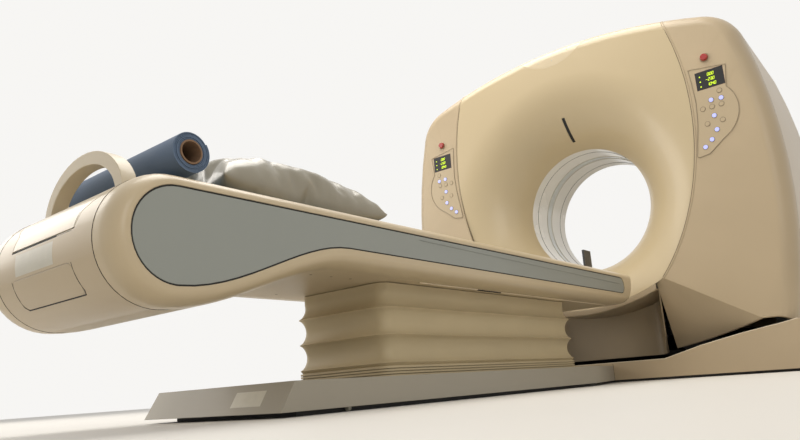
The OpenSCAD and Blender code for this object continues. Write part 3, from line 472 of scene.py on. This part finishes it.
bellows = piece("bellows_folds", verts, faces, bellows_cloth, None)
wall = bellows.modifiers.new("wall", "SOLIDIFY")
wall.thickness = 0.0022
wall.offset = -1.0
ridge = bellows.modifiers.new("crease", "EDGE_SPLIT")
ridge.split_angle = math.radians(44)
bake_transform(bellows)
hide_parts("bellows")

# Tilting frame
# A welded steel ring frame in grey primer that carries the bearing and the
# trunnions. It is closed in by the covers.
dress(paint("frame_primer", (0.24, 0.245, 0.25), 0.5, cloud=0.12, cloud_size=6, grain=0.3, grain_size=300,
            wear=0.6), "tilt_frame")

# Rotating ring
# Cast aluminium drum, a painted tube housing, a black detector arc and a
# brass slip ring, turned and bolted together behind the liner.
dress(paint("drum_aluminium", (0.58, 0.58, 0.58), 0.4, metal=1.0, cloud=0.08, cloud_size=9, grain=0.3,
            grain_size=350), "rotor_drum")
dress(paint("tube_housing", (0.50, 0.48, 0.42), 0.4, coat=0.2, wear=0.4), "xray_tube")
dress(paint("detector_black", (0.035, 0.035, 0.036), 0.5, grain=0.3, wear=0.4), "detector")
dress(paint("slip_ring_brass", (0.60, 0.42, 0.17), 0.28, metal=1.0, cloud=0.08, cloud_size=20, grain=0.2,
            grain_size=1200), "slip_ring")

# Bore liner
# A white thermoformed tube that the patient passes through, lit from the
# room, with a clear plastic scan window in the middle, in two thin rims.
dress(paint("liner_white", (0.80, 0.77, 0.70), 0.25, coat=0.5, cloud=0.02, grain=0.05), "bore_liner",
      crease=24)
window = paint("window_clear", (0.74, 0.76, 0.72), 0.12, coat=0.6, cloud=0.03, grain=0.04)
window.node_tree.nodes["Principled BSDF"].inputs["Transmission Weight"].default_value = 0.25
dress(window, "scan_window", crease=24)
for k, (y, r, thick, rim_finish) in enumerate((
        (-0.030, 0.3587, 0.0012, silver_film), (0.030, 0.3587, 0.0012, silver_film),
        (-0.150, 0.3595, 0.0009, gap_black), (0.150, 0.3595, 0.0009, gap_black))):
    ring = [(r * math.cos(a), y, tilt_axis_z + r * math.sin(a)) for a in full_turn(96)]
    rod(f"liner_rim_{k}", ring, thick, rim_finish, "gantry", closed=True)

# Front cover
# The dished cream cover round the bore, one thick vacuum-formed sheet that
# runs into the bell mouth. A fine dark joint closes it against the panels.
cover_cream = paint("cover_cream", (0.545, 0.440, 0.270), 0.36, coat=0.22, cloud=0.03, cloud_size=2.0,
                    soft_edge=0.003)
dress(cover_cream, "dish_cover", crease=24)
joint_brown = paint("joint_brown", (0.105, 0.080, 0.048), 0.6, grain=0.3)
front_tree = tree_of("dish_cover", "left_front_panel", "right_front_panel", "left_side_cover",
                     "right_side_cover", "lower_front_panel", "badge_panel")
in_front = -1.0
dish_mid_z = 1.330
turns = [math.radians(a) for a in np.linspace(-52, 33, 80)]


def along_dish(s, half_w, half_h, lift):
    """Points on the front skin along one side of the dish's oval edge."""
    starts = [(s * half_w * math.cos(a), in_front, dish_mid_z + half_h * math.sin(a)) for a in turns]
    return laid(front_tree, starts, (0, 1, 0), lift)


for side, s in (("left", -1), ("right", 1)):
    rod(f"{side}_front_joint", along_dish(s, 0.7052, 1.0685, -0.0002), 0.0012, joint_brown, "gantry")
    rod(f"{side}_front_bead", along_dish(s, 0.7125, 1.0755, -0.0010), 0.0036, cover_beige, "gantry")

# Badge at the crown
# A lens-shaped panel let into the cover under the crown. It stays blank but
# for three small pins, and a fine dark joint runs round its lower edge.
dress(paint("badge_cream", (0.610, 0.505, 0.335), 0.34, coat=0.25, soft_edge=0.002), "badge_panel",
      crease=24)
badge_r, badge_mid_z = 0.2665, 2.071
turns = [math.radians(a) for a in np.linspace(-152, -28, 60)]
lower_edge = [(badge_r * math.cos(a), in_front, badge_mid_z + badge_r * math.sin(a)) for a in turns]
rod("badge_joint", laid(front_tree, lower_edge, (0, 1, 0), -0.0004), 0.0021, joint_brown, "gantry")
for k, (x, z) in enumerate(((-0.078, 1.848), (0.006, 1.838), (0.104, 1.872))):
    at = laid(front_tree, [(x, in_front, z)], (0, 1, 0))
    if at:
        pin_finish = silver_film if k < 2 else paint("lamp_green", (0.42, 0.60, 0.10), 0.3)
        turned(f"badge_pin_{k}", [(0.0042, 0.001), (0.0042, -0.0004), (0.003, -0.0007)], at[0],
               pin_finish, "gantry", 20)

# Laser window
# A black slit over the bore, through which the alignment laser shines: one
# narrow piece of dark glass that follows the dish.
dress(paint("slit_black", (0.006, 0.006, 0.007), 0.45, grain=0.03), "laser_window")

# Front panels
# The beige panels at both sides of the dish, and the panel with the recess for
# the couch. They are darker than the dish, partly by their own colour and partly
# by painted shade; the recess panel is darker still, with the couch's shadow painted in.
dress(cover_beige, "left_front_panel", "right_front_panel", crease=28)
# The recess panel's darker beige is the couch's shadow, painted in.
recess_shade_paint = paint("recess_beige_painted_shade", (0.36, 0.280, 0.175), 0.45, coat=0.08, soft_edge=0.003)
dress(recess_shade_paint, "lower_front_panel", crease=28)

# Side, top and rear covers
# Large beige mouldings that wrap the gantry. A dark joint runs up the sides and
# over the top, where they meet the front and the rear, with a painted highlight beside it.
side_paint = paint("side_beige", (0.455, 0.358, 0.228), 0.40, coat=0.15, cloud=0.035, cloud_size=1.6,
                   wear=0.25, soft_edge=0.004)
dress(side_paint, "left_side_cover", "right_side_cover", "rear_cover", crease=28)
skin = tree_of("left_side_cover", "right_side_cover", "left_front_panel", "right_front_panel",
               "dish_cover", "badge_panel", "rear_cover")
for name, y in (("front", -0.3845), ("rear", 0.3845)):
    around = []
    for a in np.linspace(-42, 222, 170):
        far = Vector((2.2 * math.cos(math.radians(a)), y, 1.05 + 2.2 * math.sin(math.radians(a))))
        hit = laid(skin, [far], Vector((0, y, 1.05)) - far, -0.0016)
        around += [p for p in hit if p.z > 0.30 and (abs(p.x) > 0.95 or p.z > 1.2)]
    rod(f"{name}_wrap_joint", around, 0.0018, gap_black, "gantry")
    shifted = [Vector((p.x, p.y + (0.006 if y < 0 else -0.006), p.z)) for p in around]
    rod(f"{name}_wrap_highlight", shifted, 0.0018, highlight_and_trim_paint, "gantry")

# Control panels
# One leaf-shaped keypad plate at each side of the dish, screen printed and
# glued down, with a thin raised rim, a display, a stop and twelve keys.
pad_paint = paint("keypad_beige", (0.480, 0.382, 0.245), 0.40, coat=0.15)
dress(pad_paint, "left_control_panel", "right_control_panel")
rim = [(722, 1509), (895, 1482)]
rim += [(754 + 166 * math.cos(a), 1264 + 166 * math.sin(a))
        for a in [math.radians(d) for d in np.linspace(40, -62, 24)]]
rim += [(757, 1057), (704, 1050), (698, 1060), (725, 1218), (734, 1326), (729, 1426)]
key_rim = paint("key_rim", (0.26, 0.205, 0.135), 0.4)
for side, s in (("left", -1), ("right", 1)):
    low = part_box(f"{side}_control_panel")[0]
    edge = [(s * x / 1000, low[1] + 0.0004, z / 1000) for x, z in rim]
    rod(f"{side}_pad_rim", edge, 0.0011, key_rim, "gantry", closed=True)

# Displays
# A black glass display in each panel, with three rows of yellow-green
# seven-segment numbers and three small lamps at their left.
glass_black = paint("display_black", (0.005, 0.005, 0.005), 0.42, grain=0.02)
dress(glass_black, "left_display", "right_display")
segment_glow = paint("segment_glow", (0.55, 0.72, 0.02), 0.4)
glow = segment_glow.node_tree.nodes["Principled BSDF"].inputs
glow["Emission Color"].default_value = (0.60, 0.85, 0.02, 1)
glow["Emission Strength"].default_value = 0.9
bezel_brown = paint("bezel_brown", (0.20, 0.075, 0.045), 0.35, coat=0.3)
lit_bars = {"0": "abcdef", "1": "bc", "2": "abged", "3": "abgcd", "-": "g", "4": "fgbc"}


def segments(words, left, top, size, y):
    """Flat bars for one row of slanted seven-segment numbers."""
    verts, faces = [], []
    wide, tall, thick = size * 0.52, size, size * 0.16
    for k, letter in enumerate(words):
        x0 = left + k * size * 0.78
        places = {"a": (0, tall, 1), "b": (wide, tall / 2, 0), "c": (wide, 0, 0), "d": (0, 0, 1),
                  "e": (0, 0, 0), "f": (0, tall / 2, 0), "g": (0, tall / 2, 1)}
        for bar in lit_bars[letter]:
            px, pz, flat = places[bar]
            w, h = (wide, thick) if flat else (thick, tall / 2)
            ox, oz = (0, -thick / 2) if flat else (-thick / 2, 0)
            bar_x, bar_z = px + ox, pz + oz
            corners = [(bar_x, bar_z), (bar_x + w, bar_z), (bar_x + w, bar_z + h), (bar_x, bar_z + h)]
            first = len(verts)
            for d in (0.0, -0.0004):
                verts += [(x0 + cx + 0.18 * cz, y + d, top - tall + cz) for cx, cz in corners]
            faces += [tuple(first + i for i in f) for f in
                      ((0, 1, 2, 3), (7, 6, 5, 4), (0, 4, 5, 1), (1, 5, 6, 2), (2, 6, 7, 3), (3, 7, 4, 0))]
    return verts, faces


row_step, number_h = 0.026, 0.0135
for side in ("left", "right"):
    low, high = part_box(f"{side}_display")
    face = low[1]
    for row, words in enumerate(("000", "-230", "1040")):
        left_edge = low[0] + (0.056, 0.046, 0.050)[row]
        top_edge = high[2] - 0.016 - row * row_step
        verts, faces = segments(words, left_edge, top_edge, number_h, face - 0.0001)
        piece(f"{side}_row_{row}", verts, faces, segment_glow, "gantry", smooth=False)
        turned(f"{side}_row_lamp_{row}", [(0.0033, 0.0003), (0.0033, -0.0004), (0.002, -0.0008)],
               (low[0] + 0.020, face, high[2] - 0.026 - row * row_step), segment_glow, "gantry", 16)
    edge = [(low[0], low[2]), (high[0], low[2]), (high[0], high[2]), (low[0], high[2])]
    around, r = [], 0.006
    for (x, z), (sx, sz), a0 in zip(edge, ((1, 1), (-1, 1), (-1, -1), (1, -1)), (180, 270, 0, 90)):
        around += [(x + sx * r + r * math.cos(a), face + 0.0016, z + sz * r + r * math.sin(a))
                   for a in [math.radians(a0 + t) for t in range(0, 91, 15)]]
    rod(f"{side}_bezel", around, 0.0016, bezel_brown, "gantry", closed=True)

# Stop buttons
# A domed dark red mushroom button in each panel's top, in a turned metal
# ring screwed to the cover.
dress(paint("stop_red", (0.36, 0.022, 0.018), 0.26, coat=0.6, cloud=0.05), "left_stop_button",
      "right_stop_button", crease=40)
ring_metal = paint("stop_ring", (0.42, 0.33, 0.22), 0.35, metal=0.6, grain=0.2)
stop_ring_r, stop_ring_y = 0.0215, -0.4815
for side in ("left", "right"):
    low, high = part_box(f"{side}_stop_button")
    cx, cz = (low[0] + high[0]) / 2, (low[2] + high[2]) / 2
    ring = [(cx + stop_ring_r * math.cos(a), stop_ring_y, cz + stop_ring_r * math.sin(a))
            for a in full_turn(48)]
    rod(f"{side}_stop_ring", ring, 0.0016, ring_metal, "gantry", closed=True)

# Keys
# Six lit keys on each side, translucent caps with a pale blue-violet light
# behind them. Every key, lit or plain, sits in a thin dark moulded ring.
key_lit = paint("key_lit", (0.50, 0.52, 0.88), 0.3, coat=0.3)
key_lit.node_tree.nodes["Principled BSDF"].inputs["Emission Color"].default_value = (0.42, 0.48, 1.0, 1)
key_lit.node_tree.nodes["Principled BSDF"].inputs["Emission Strength"].default_value = 0.35
dress(key_lit, *[f"{s}_key_{k}" for s in ("left", "right") for k in range(1, 7)])
all_keys = ((804, 1323), (850, 1320), (806, 1241), (807, 1168), (777, 1125), (742, 1095),
            (848, 1359), (760, 1288), (803, 1288), (847, 1289), (769, 1208), (840, 1209))
key_ring_r, key_ring_y = 0.0122, -0.4812
for side, s in (("left", -1), ("right", 1)):
    for k, (x, z) in enumerate(all_keys):
        ring = [(s * x / 1000 + key_ring_r * math.cos(a), key_ring_y, z / 1000 + key_ring_r * math.sin(a))
                for a in full_turn(28)]
        rod(f"{side}_key_ring_{k + 1}", ring, 0.0011, key_rim, "gantry", closed=True)

# Couch frame
# Welded steel box frame between the covers, black powder coat, hidden but
# for the slot between tabletop and covers.
dress(paint("couch_frame_black", (0.06, 0.06, 0.06), 0.5, grain=0.4, grain_size=500, wear=0.4),
      "couch_frame")

# Couch side covers
# Long foamed mouldings in beige, with the bulb at the foot and rounded
# edges; a grey-blue plate is let into each, with a black groove round it.
couch_beige = paint("couch_beige", (0.500, 0.402, 0.256), 0.38, coat=0.2, cloud=0.035, wear=0.3,
                    soft_edge=0.004)
dress(couch_beige, "left_couch_cover", "right_couch_cover", crease=28)

# Inlays
# Laminated plates in grey blue, glued into the side covers; a raised strip
# runs along each towards the gantry.
inlay_grey = paint("inlay_grey", (0.265, 0.278, 0.250), 0.42, coat=0.12, cloud=0.035, grain=0.10,
                   soft_edge=0.001)
dress(inlay_grey, "left_inlay", "right_inlay", crease=28)
groove_x = 0.3072
for side, s in (("left", -1), ("right", 1)):
    edge_tree = tree_of(f"{side}_inlay")
    top, bottom = [], []
    for y in np.linspace(-3.126, -0.667, 130):
        hits = [(z, laid(edge_tree, [(s * 0.5, y, z)], (-s, 0, 0))) for z in np.linspace(0.27, 0.51, 481)]
        inside = [z for z, at in hits if at and s * at[0].x > 0.304]
        if inside:
            top.append((s * groove_x, y, inside[-1] + 0.0020))
            bottom.append((s * groove_x, y, inside[0] - 0.0020))
    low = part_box(f"{side}_inlay")[0]
    round_end = [(s * groove_x, low[1] + 0.104 + 0.106 * math.cos(t), low[2] + 0.104 + 0.106 * math.sin(t))
                 for t in [math.radians(d) for d in range(266, 92, -5)]]
    rod(f"{side}_inlay_groove", top + bottom[::-1] + round_end, 0.0020, gap_black, "couch", closed=True)

# Foot end
# The rounded end cover with its access panel. Dark joints mark the panel and
# the slotted cap over it, and a blank film label sits between the two.
end_paint = paint("end_beige", (0.480, 0.380, 0.240), 0.38, coat=0.2, soft_edge=0.003)
dress(end_paint, "end_cover", "access_panel", crease=28)
bulb_y, bulb_z, bulb_r = -3.130, 0.3885, 0.1437
end_tree = tree_of("end_cover", "access_panel", "tabletop_end_cap", "left_couch_cover", "right_couch_cover")
end_joints = {
    "cap_slot": ([(x, 0.416) for x in np.linspace(-0.150, 0.072, 20)], 0.0042),
    "cap_line": ([(x, 0.416) for x in np.linspace(0.072, 0.140, 8)]
                 + [(0.145, z) for z in np.linspace(0.420, 0.455, 6)], 0.0014),
    "access_line": ([(-0.150, z) for z in np.linspace(0.350, 0.294, 8)]
                    + [(x, 0.286) for x in np.linspace(-0.140, 0.127, 22)]
                    + [(0.135, z) for z in np.linspace(0.294, 0.350, 8)], 0.0022),
}
for name, (path, width) in end_joints.items():
    on_cover = laid(end_tree, [(x, -4.0, z) for x, z in path], (0, 1, 0), -width * 0.85)
    rod(name, on_cover, width, gap_black, "couch")
label_at = [(x, -4.0, z) for z in np.linspace(0.358, 0.408, 7) for x in np.linspace(-0.125, 0.060, 10)]
sticker("end_label", end_tree, label_at, (0, 1, 0), 7, silver_film, "couch")
for side, s in (("left", -1), ("right", 1)):
    seam_tree = tree_of("end_cover", f"{side}_couch_cover")
    kept = []
    for a in [math.radians(a) for a in np.linspace(-100, 262, 90)]:
        out = Vector((0, math.cos(a), math.sin(a)))
        on_seam = Vector((s * 0.2305, bulb_y, bulb_z)) + out * bulb_r
        if on_seam.y < -3.10:
            kept += laid(seam_tree, [on_seam + out * 0.3], out * -bulb_r, -0.0006)
    if len(kept) > 4:
        rod(f"{side}_end_joint", kept, 0.0014, gap_black, "couch")

# Underside of the couch
# A flat moulded underside cover, screwed on from below, with two slotted
# guide strips in it near the bellows.
dress(paint("underside_beige", (0.50, 0.405, 0.262), 0.45, cloud=0.05, soft_edge=0.002),
      "underside_cover", crease=28)
under_tree = tree_of("underside_cover")
screws_at = ((0.165, -2.62), (0.165, -2.54), (0.165, -2.46), (-0.165, -2.62), (-0.165, -2.46))
screw_head = ((0.0045, 0.0005), (0.0045, -0.0005), (0.003, -0.0012))
for k, (x, y) in enumerate(screws_at):
    at = laid(under_tree, [(x, y, 0.05)], (0, 0, 1))
    if at:
        verts = [(at[0].x + r * math.cos(a), at[0].y + r * math.sin(a), at[0].z + d)
                 for r, d in screw_head for a in full_turn(20)]
        faces = band(0, 20) + band(1, 20) + [tuple(range(20)), tuple(range(40, 60))]
        piece(f"under_screw_{k}", verts, faces, key_rim, "couch")


def under_line(x, y0, y1, count, lift):
    """Points on the underside cover, in a line along the couch."""
    return laid(under_tree, [(x, y, 0.05) for y in np.linspace(y0, y1, count)], (0, 0, 1), lift)


for side, s in (("left", -1), ("right", 1)):
    strip = under_line(s * 0.222, -2.20, -0.72, 40, 0.0)
    if len(strip) > 2:
        # The guide strips are drawn in the same pale colour as the painted highlights.
        rod(f"{side}_guide_strip", strip, 0.0028, highlight_and_trim_paint, "couch")
    slot_line = under_line(s * 0.222, -1.86, -1.70, 8, 0.0012)
    if len(slot_line) > 1:
        rod(f"{side}_guide_slot", slot_line, 0.0030, gap_black, "couch")

# Tabletop, end cap and hoop
# A carbon sandwich tabletop with a cream skin, a moulded cap at its foot,
# and the padded grab hoop that the operator pulls it by.
table_cream = paint("table_cream", (0.570, 0.470, 0.315), 0.34, coat=0.25, cloud=0.03, soft_edge=0.003)
dress(table_cream, "tabletop", "tabletop_end_cap", crease=28)
dress(paint("hoop_cream", (0.555, 0.475, 0.340), 0.42, coat=0.1, cloud=0.04), "hoop_handle", crease=40,
      bevel=0.013)

# Mattress and sheet
# A flat foam mattress on the tabletop, under a light-blue hospital sheet
# that is laid on it with soft creases and tucked down at the sides.
low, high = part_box("mattress")
sheet_blue = paint("sheet_blue", (0.205, 0.285, 0.375), 0.85, cloud=0.10, cloud_size=9, grain=0.7,
                   grain_size=2600)
foam_grey = paint("foam_grey", (0.24, 0.25, 0.25), 0.7, grain=0.5, grain_size=1200)
verts, faces = [], []
section = []
for a in full_turn(28):
    c, s = math.cos(a), math.sin(a)
    section.append((math.copysign(abs(c) ** 0.28, c), math.copysign(abs(s) ** 0.45, s)))
cuts = 40
for j in range(cuts + 1):
    t = j / cuts
    y = low[1] + 0.002 + (high[1] - low[1] - 0.004) * t
    pull = 1.0 - 0.035 * (max(0.0, abs(2 * t - 1) - 0.97) / 0.03) ** 2
    for c, s in section:
        x = c * (high[0] - 0.006) * pull
        z = (low[2] + high[2]) / 2 + s * (high[2] - low[2] - 0.006) / 2 * pull
        if s < 0:
            z = max(z, 0.5325 if abs(x) > 0.15 else low[2] + 0.002)
        verts.append((x, y, z))
sides = len(section)
for j in range(cuts):
    faces += band(j, sides)
faces += [tuple(range(sides)), tuple(cuts * sides + k for k in range(sides))]
pad = piece("mattress_pad", verts, faces, foam_grey, "table")
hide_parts("mattress")
half, top, drop = high[0] - 0.002, high[2] + 0.0012, 0.022
across = [(-half, top - drop), (-half, top - 0.012), (-half + 0.003, top - 0.004)]
across += [(x, top) for x in np.linspace(-half + 0.010, half - 0.010, 30)]
across += [(half - 0.003, top - 0.004), (half, top - 0.012), (half, top - drop)]
verts, faces = [], []
rows = 150
for j in range(rows + 1):
    y = low[1] + 0.004 + (high[1] - low[1] - 0.008) * j / rows
    for x, z in across:
        crease = noise.noise(Vector((x * 9, y * 3.2, 4.0))) * 0.0016
        crease += noise.noise(Vector((x * 22, y * 10, 9.0))) * 0.0006
        rise = abs(crease) if abs(x) < half - 0.006 else 0.0
        wave = noise.noise(Vector((y * 8, z * 30, 1.0))) * 0.0008 if abs(x) > half - 0.004 else 0
        verts.append((x + wave, y, z + rise))
cols = len(across)
for j in range(rows):
    near, far = j * cols, (j + 1) * cols
    faces += [(near + k, near + k + 1, far + k + 1, far + k) for k in range(cols - 1)]
sheet = piece("sheet", verts, faces, sheet_blue, "table")
sheet_wall = sheet.modifiers.new("thickness", "SOLIDIFY")
sheet_wall.thickness = 0.0007
sheet_wall.offset = 1.0

# Pillow
# A flat grey pillow in a slippery coated cover, sewn round its rim and half
# full. It is two cloth layers with a few pleats, blown up by a simulation.
low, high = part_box("pillow")
nx, ny = 44, 66
cx, cy = (low[0] + high[0]) / 2, (low[1] + high[1]) / 2
hw, hl = (high[0] - low[0]) / 2 - 0.012, (high[1] - low[1]) / 2 - 0.012
verts, faces, index = [], [], {}
for layer in (0, 1):
    for j in range(ny + 1):
        for i in range(nx + 1):
            u, v = 2 * i / nx - 1, 2 * j / ny - 1
            rim = abs(u) == 1 or abs(v) == 1
            if layer and rim:
                index[(1, i, j)] = index[(0, i, j)]
                continue
            swell = (1 - abs(u) ** 3.2) ** 0.55 * (1 - abs(v) ** 3.2) ** 0.55
            height = 0.086 * (1 - 0.30 * max(0.0, v + 0.2))
            z = low[2] + 0.020 + (height * swell if layer else -0.017 * min(1.0, swell * 2.2))
            pleat = noise.noise(Vector((v * 9.0, 1.3 * u, 2.0))) * abs(u) ** 2
            pleat += noise.noise(Vector((1.3 * v, u * 7.0, 6.0))) * abs(v) ** 2
            pleat += 0.5 * noise.noise(Vector((u * 4.0 + v * 3.0, v * 5.0, 9.0)))
            pinch = 1 - 0.045 * (1 - abs(u * v))
            index[(layer, i, j)] = len(verts)
            wrinkle = 0.011 * pleat * min(1.0, swell * 1.6) if layer else 0.0
            verts.append((cx + u * hw * pinch, cy + v * hl * pinch, z + wrinkle))
for j in range(ny):
    for i in range(nx):
        a = [index[(0, i, j)], index[(0, i + 1, j)], index[(0, i + 1, j + 1)], index[(0, i, j + 1)]]
        b = [index[(1, i, j)], index[(1, i, j + 1)], index[(1, i + 1, j + 1)], index[(1, i + 1, j)]]
        faces += [tuple(a[::-1]), tuple(b[::-1])]
pillow_cloth = paint("pillow_grey", (0.265, 0.240, 0.180), 0.34, coat=0.30, cloud=0.10, cloud_size=12,
                     grain=0.35, grain_size=1800)
pillow = piece("pillow_cushion", verts, faces, pillow_cloth, None)
cloth = pillow.modifiers.new("cloth", "CLOTH")
cloth.settings.quality = 6
cloth.settings.mass = 0.25
cloth.settings.tension_stiffness = 25
cloth.settings.compression_stiffness = 25
cloth.settings.bending_stiffness = 0.12
cloth.settings.use_pressure = True
cloth.settings.uniform_pressure_force = 1.6
cloth.settings.shrink_min = -0.06
cloth.settings.effector_weights.gravity = 0.0
for step in range(1, 22):
    scene.frame_set(step)
shape = pillow.evaluated_get(bpy.context.evaluated_depsgraph_get()).to_mesh()
blown = [v.co.copy() for v in shape.vertices]
pillow.modifiers.remove(cloth)
for v, at in zip(pillow.data.vertices, blown):
    v.co = at
scene.frame_set(1)
for v in pillow.data.vertices:
    v.co.z = min(max(v.co.z, low[2] + 0.0015), high[2] - 0.002)
    v.co.x = min(max(v.co.x, low[0] + 0.001), high[0] - 0.001)
    v.co.y = min(max(v.co.y, low[1] + 0.001), high[1] - 0.001)
finer = pillow.modifiers.new("finer", "SUBSURF")
finer.levels = finer.render_levels = 1
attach(pillow, "table")
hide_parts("pillow")

# Paper roll
# A roll of blue couch paper on a brown cardboard core, wound from one long
# strip, so that its ends show the windings.
low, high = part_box("paper_roll")
mid_y, mid_z = (low[1] + high[1]) / 2, (low[2] + high[2]) / 2
turns, per, outer = 6, 64, (high[2] - low[2]) / 2 - 0.0006
verts, faces = [], []
count = turns * per + 6
for i in range(count + 1):
    a = 2 * math.pi * i / per
    r = 0.0300 + (outer - 0.0300) * min(1.0, i / (turns * per))
    left_end = low[0] + 0.0016 + 0.0009 * math.sin(a * 0.37)
    right_end = high[0] - 0.0016 - 0.0009 * math.sin(a * 0.31)
    for thick in (0.0, -0.0025):
        for x in (left_end, right_end):
            rr = r + thick
            verts.append((x, mid_y + rr * math.cos(a), mid_z + rr * math.sin(a)))
for i in range(count):
    a, b = i * 4, i * 4 + 4
    faces += [(a, b, b + 1, a + 1), (a + 2, a + 3, b + 3, b + 2), (a, a + 2, b + 2, b),
              (a + 1, b + 1, b + 3, a + 3)]
faces += [(0, 1, 3, 2), (count * 4, count * 4 + 2, count * 4 + 3, count * 4 + 1)]
paper = paint("paper_blue", (0.095, 0.140, 0.215), 0.72, cloud=0.08, cloud_size=14, grain=0.5,
              grain_size=2200)
roll_piece = piece("wound_paper", verts, faces, paper, "table")
crisp = roll_piece.modifiers.new("crease", "EDGE_SPLIT")
crisp.split_angle = math.radians(35)
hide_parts("paper_roll")
dress(paint("card_brown", (0.21, 0.125, 0.070), 0.8, cloud=0.1, cloud_size=30, grain=0.5, grain_size=800),
      "roll_core")

# Side bracket
# A small black moulded bracket that clips to the tabletop's rail near the
# gantry, for a strap.
dress(paint("bracket_black", (0.022, 0.021, 0.020), 0.4, grain=0.4, wear=0.5), "side_bracket")
